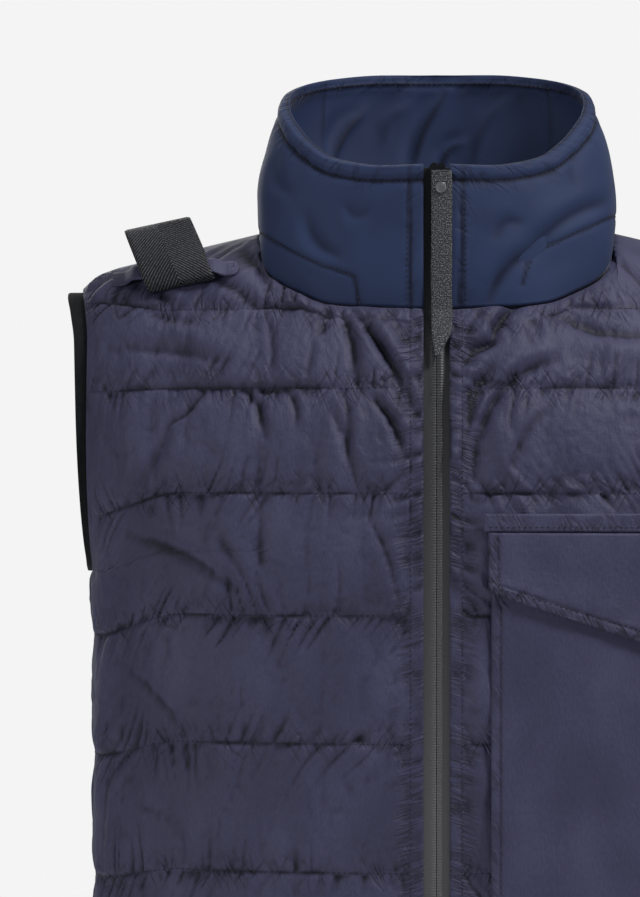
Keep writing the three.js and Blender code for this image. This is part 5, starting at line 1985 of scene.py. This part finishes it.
keeper_long = KEEPER["outer"] - KEEPER["inner"] + 2 * KEEPER_OVER_RING
keeper_x, keeper_z = np.broadcast_arrays(
    np.array([[KEEPER["inner"]], [RING_X], [KEEPER["outer"]]]),
    KEEPER["middle"] + KEEPER["width"] * np.array([[-0.5, 0.5]]),
)
keeper_lift = np.full(keeper_x.shape, KEEPER_OVER_RING)
keeper_wide = row_lengths(over_front(keeper_x, keeper_z, keeper_lift)).mean()
cut_of(keeper, keeper_wide + KEEPER_THICKNESS, keeper_long)


# %% [markdown]
# Camera, light and floor
#
# The camera stands 2.6 m away, level with the chest, and is turned slightly to the wearer's right,
# as the photograph's framing shows. A pale surround and large soft lights give the even studio
# light, and the floor is a plain pale sheet far below the hem.

# %% Camera
CAMERA_PLACE = (0, -2600, -125)
CAMERA_TURN = 1.502
FOCAL_PIXELS, IMAGE_HEIGHT, SENSOR = 4442.6, 897, 36


def make_camera():
    data = bpy.data.cameras.new("camera")
    data.sensor_fit = "AUTO"
    data.sensor_width = SENSOR
    data.lens = FOCAL_PIXELS * SENSOR / IMAGE_HEIGHT
    data.clip_end = 100
    thing = bpy.data.objects.new("camera", data)
    thing.location = Vector(CAMERA_PLACE) * MM
    thing.rotation_euler = (math.pi / 2, 0, math.radians(CAMERA_TURN))
    bpy.context.scene.collection.objects.link(thing)
    bpy.context.scene.camera = thing
    return thing


print("lens", round(make_camera().data.lens, 1), "mm")


# %% Light, surround and floor
SURROUND, SURROUND_LIGHT = "#f4f4f4", 0.15
FLOOR_Z, FLOOR_SIZE = -900, 3
LIGHTS_AIM = (0, 0, -0.2)
# Name, place and width in metres, and power in watts
LIGHTS = (
    ("key", (1.9, -1.35, 2.3), 0.8, 93),
    ("fill", (-2.3, -1.9, 0.2), 1.6, 25),
    ("top", (-0.2, 0.2, 2.4), 1.4, 16),
    ("behind", (-0.8, 2.4, 0.8), 1.8, 26),
)


def make_light(name, place, size, power):
    data = bpy.data.lights.new(name, "AREA")
    data.size = size
    data.energy = power
    thing = bpy.data.objects.new(name, data)
    thing.location = place
    aim = Vector(LIGHTS_AIM) - Vector(place)
    thing.rotation_euler = aim.to_track_quat("-Z", "Y").to_euler()
    bpy.context.scene.collection.objects.link(thing)


def make_world():
    world = bpy.data.worlds.new("surround")
    world.use_nodes = True
    tree = world.node_tree
    tree.nodes.clear()
    seen = node(tree, "ShaderNodeLightPath").outputs["Is Camera Ray"]
    strength = node(tree, "ShaderNodeMapRange", values={"To Min": SURROUND_LIGHT, "To Max": 1.0},
                    links={0: seen})
    light = node(tree, "ShaderNodeBackground", values={"Color": linear(SURROUND)},
                 links={"Strength": strength.outputs[0]})
    node(tree, "ShaderNodeOutputWorld", links={"Surface": light.outputs[0]})
    bpy.context.scene.world = world


def make_floor():
    bpy.ops.object.select_all(action="DESELECT")
    bpy.ops.mesh.primitive_plane_add(size=FLOOR_SIZE, location=(0, 0, FLOOR_Z * MM))
    floor = bpy.context.object
    floor.name = "floor"
    place_in_mesh(floor)
    material, tree, shader = finish_of("matte_paper", {"Roughness": 0.9})
    place = node(tree, "ShaderNodeTexCoord").outputs["Object"]
    tone = ramp(tree, noise_on(tree, place, (400, 400, 400), 2),
                [(0.3, linear("#efefef")), (0.7, linear("#f3f3f3"))])
    tree.links.new(tone, shader.inputs["Base Color"])
    floor.data.materials.append(material)


for settings in LIGHTS:
    make_light(*settings)
make_world()
make_floor()
bpy.context.scene.view_settings.view_transform = "Standard"
print("lights:", len(LIGHTS))
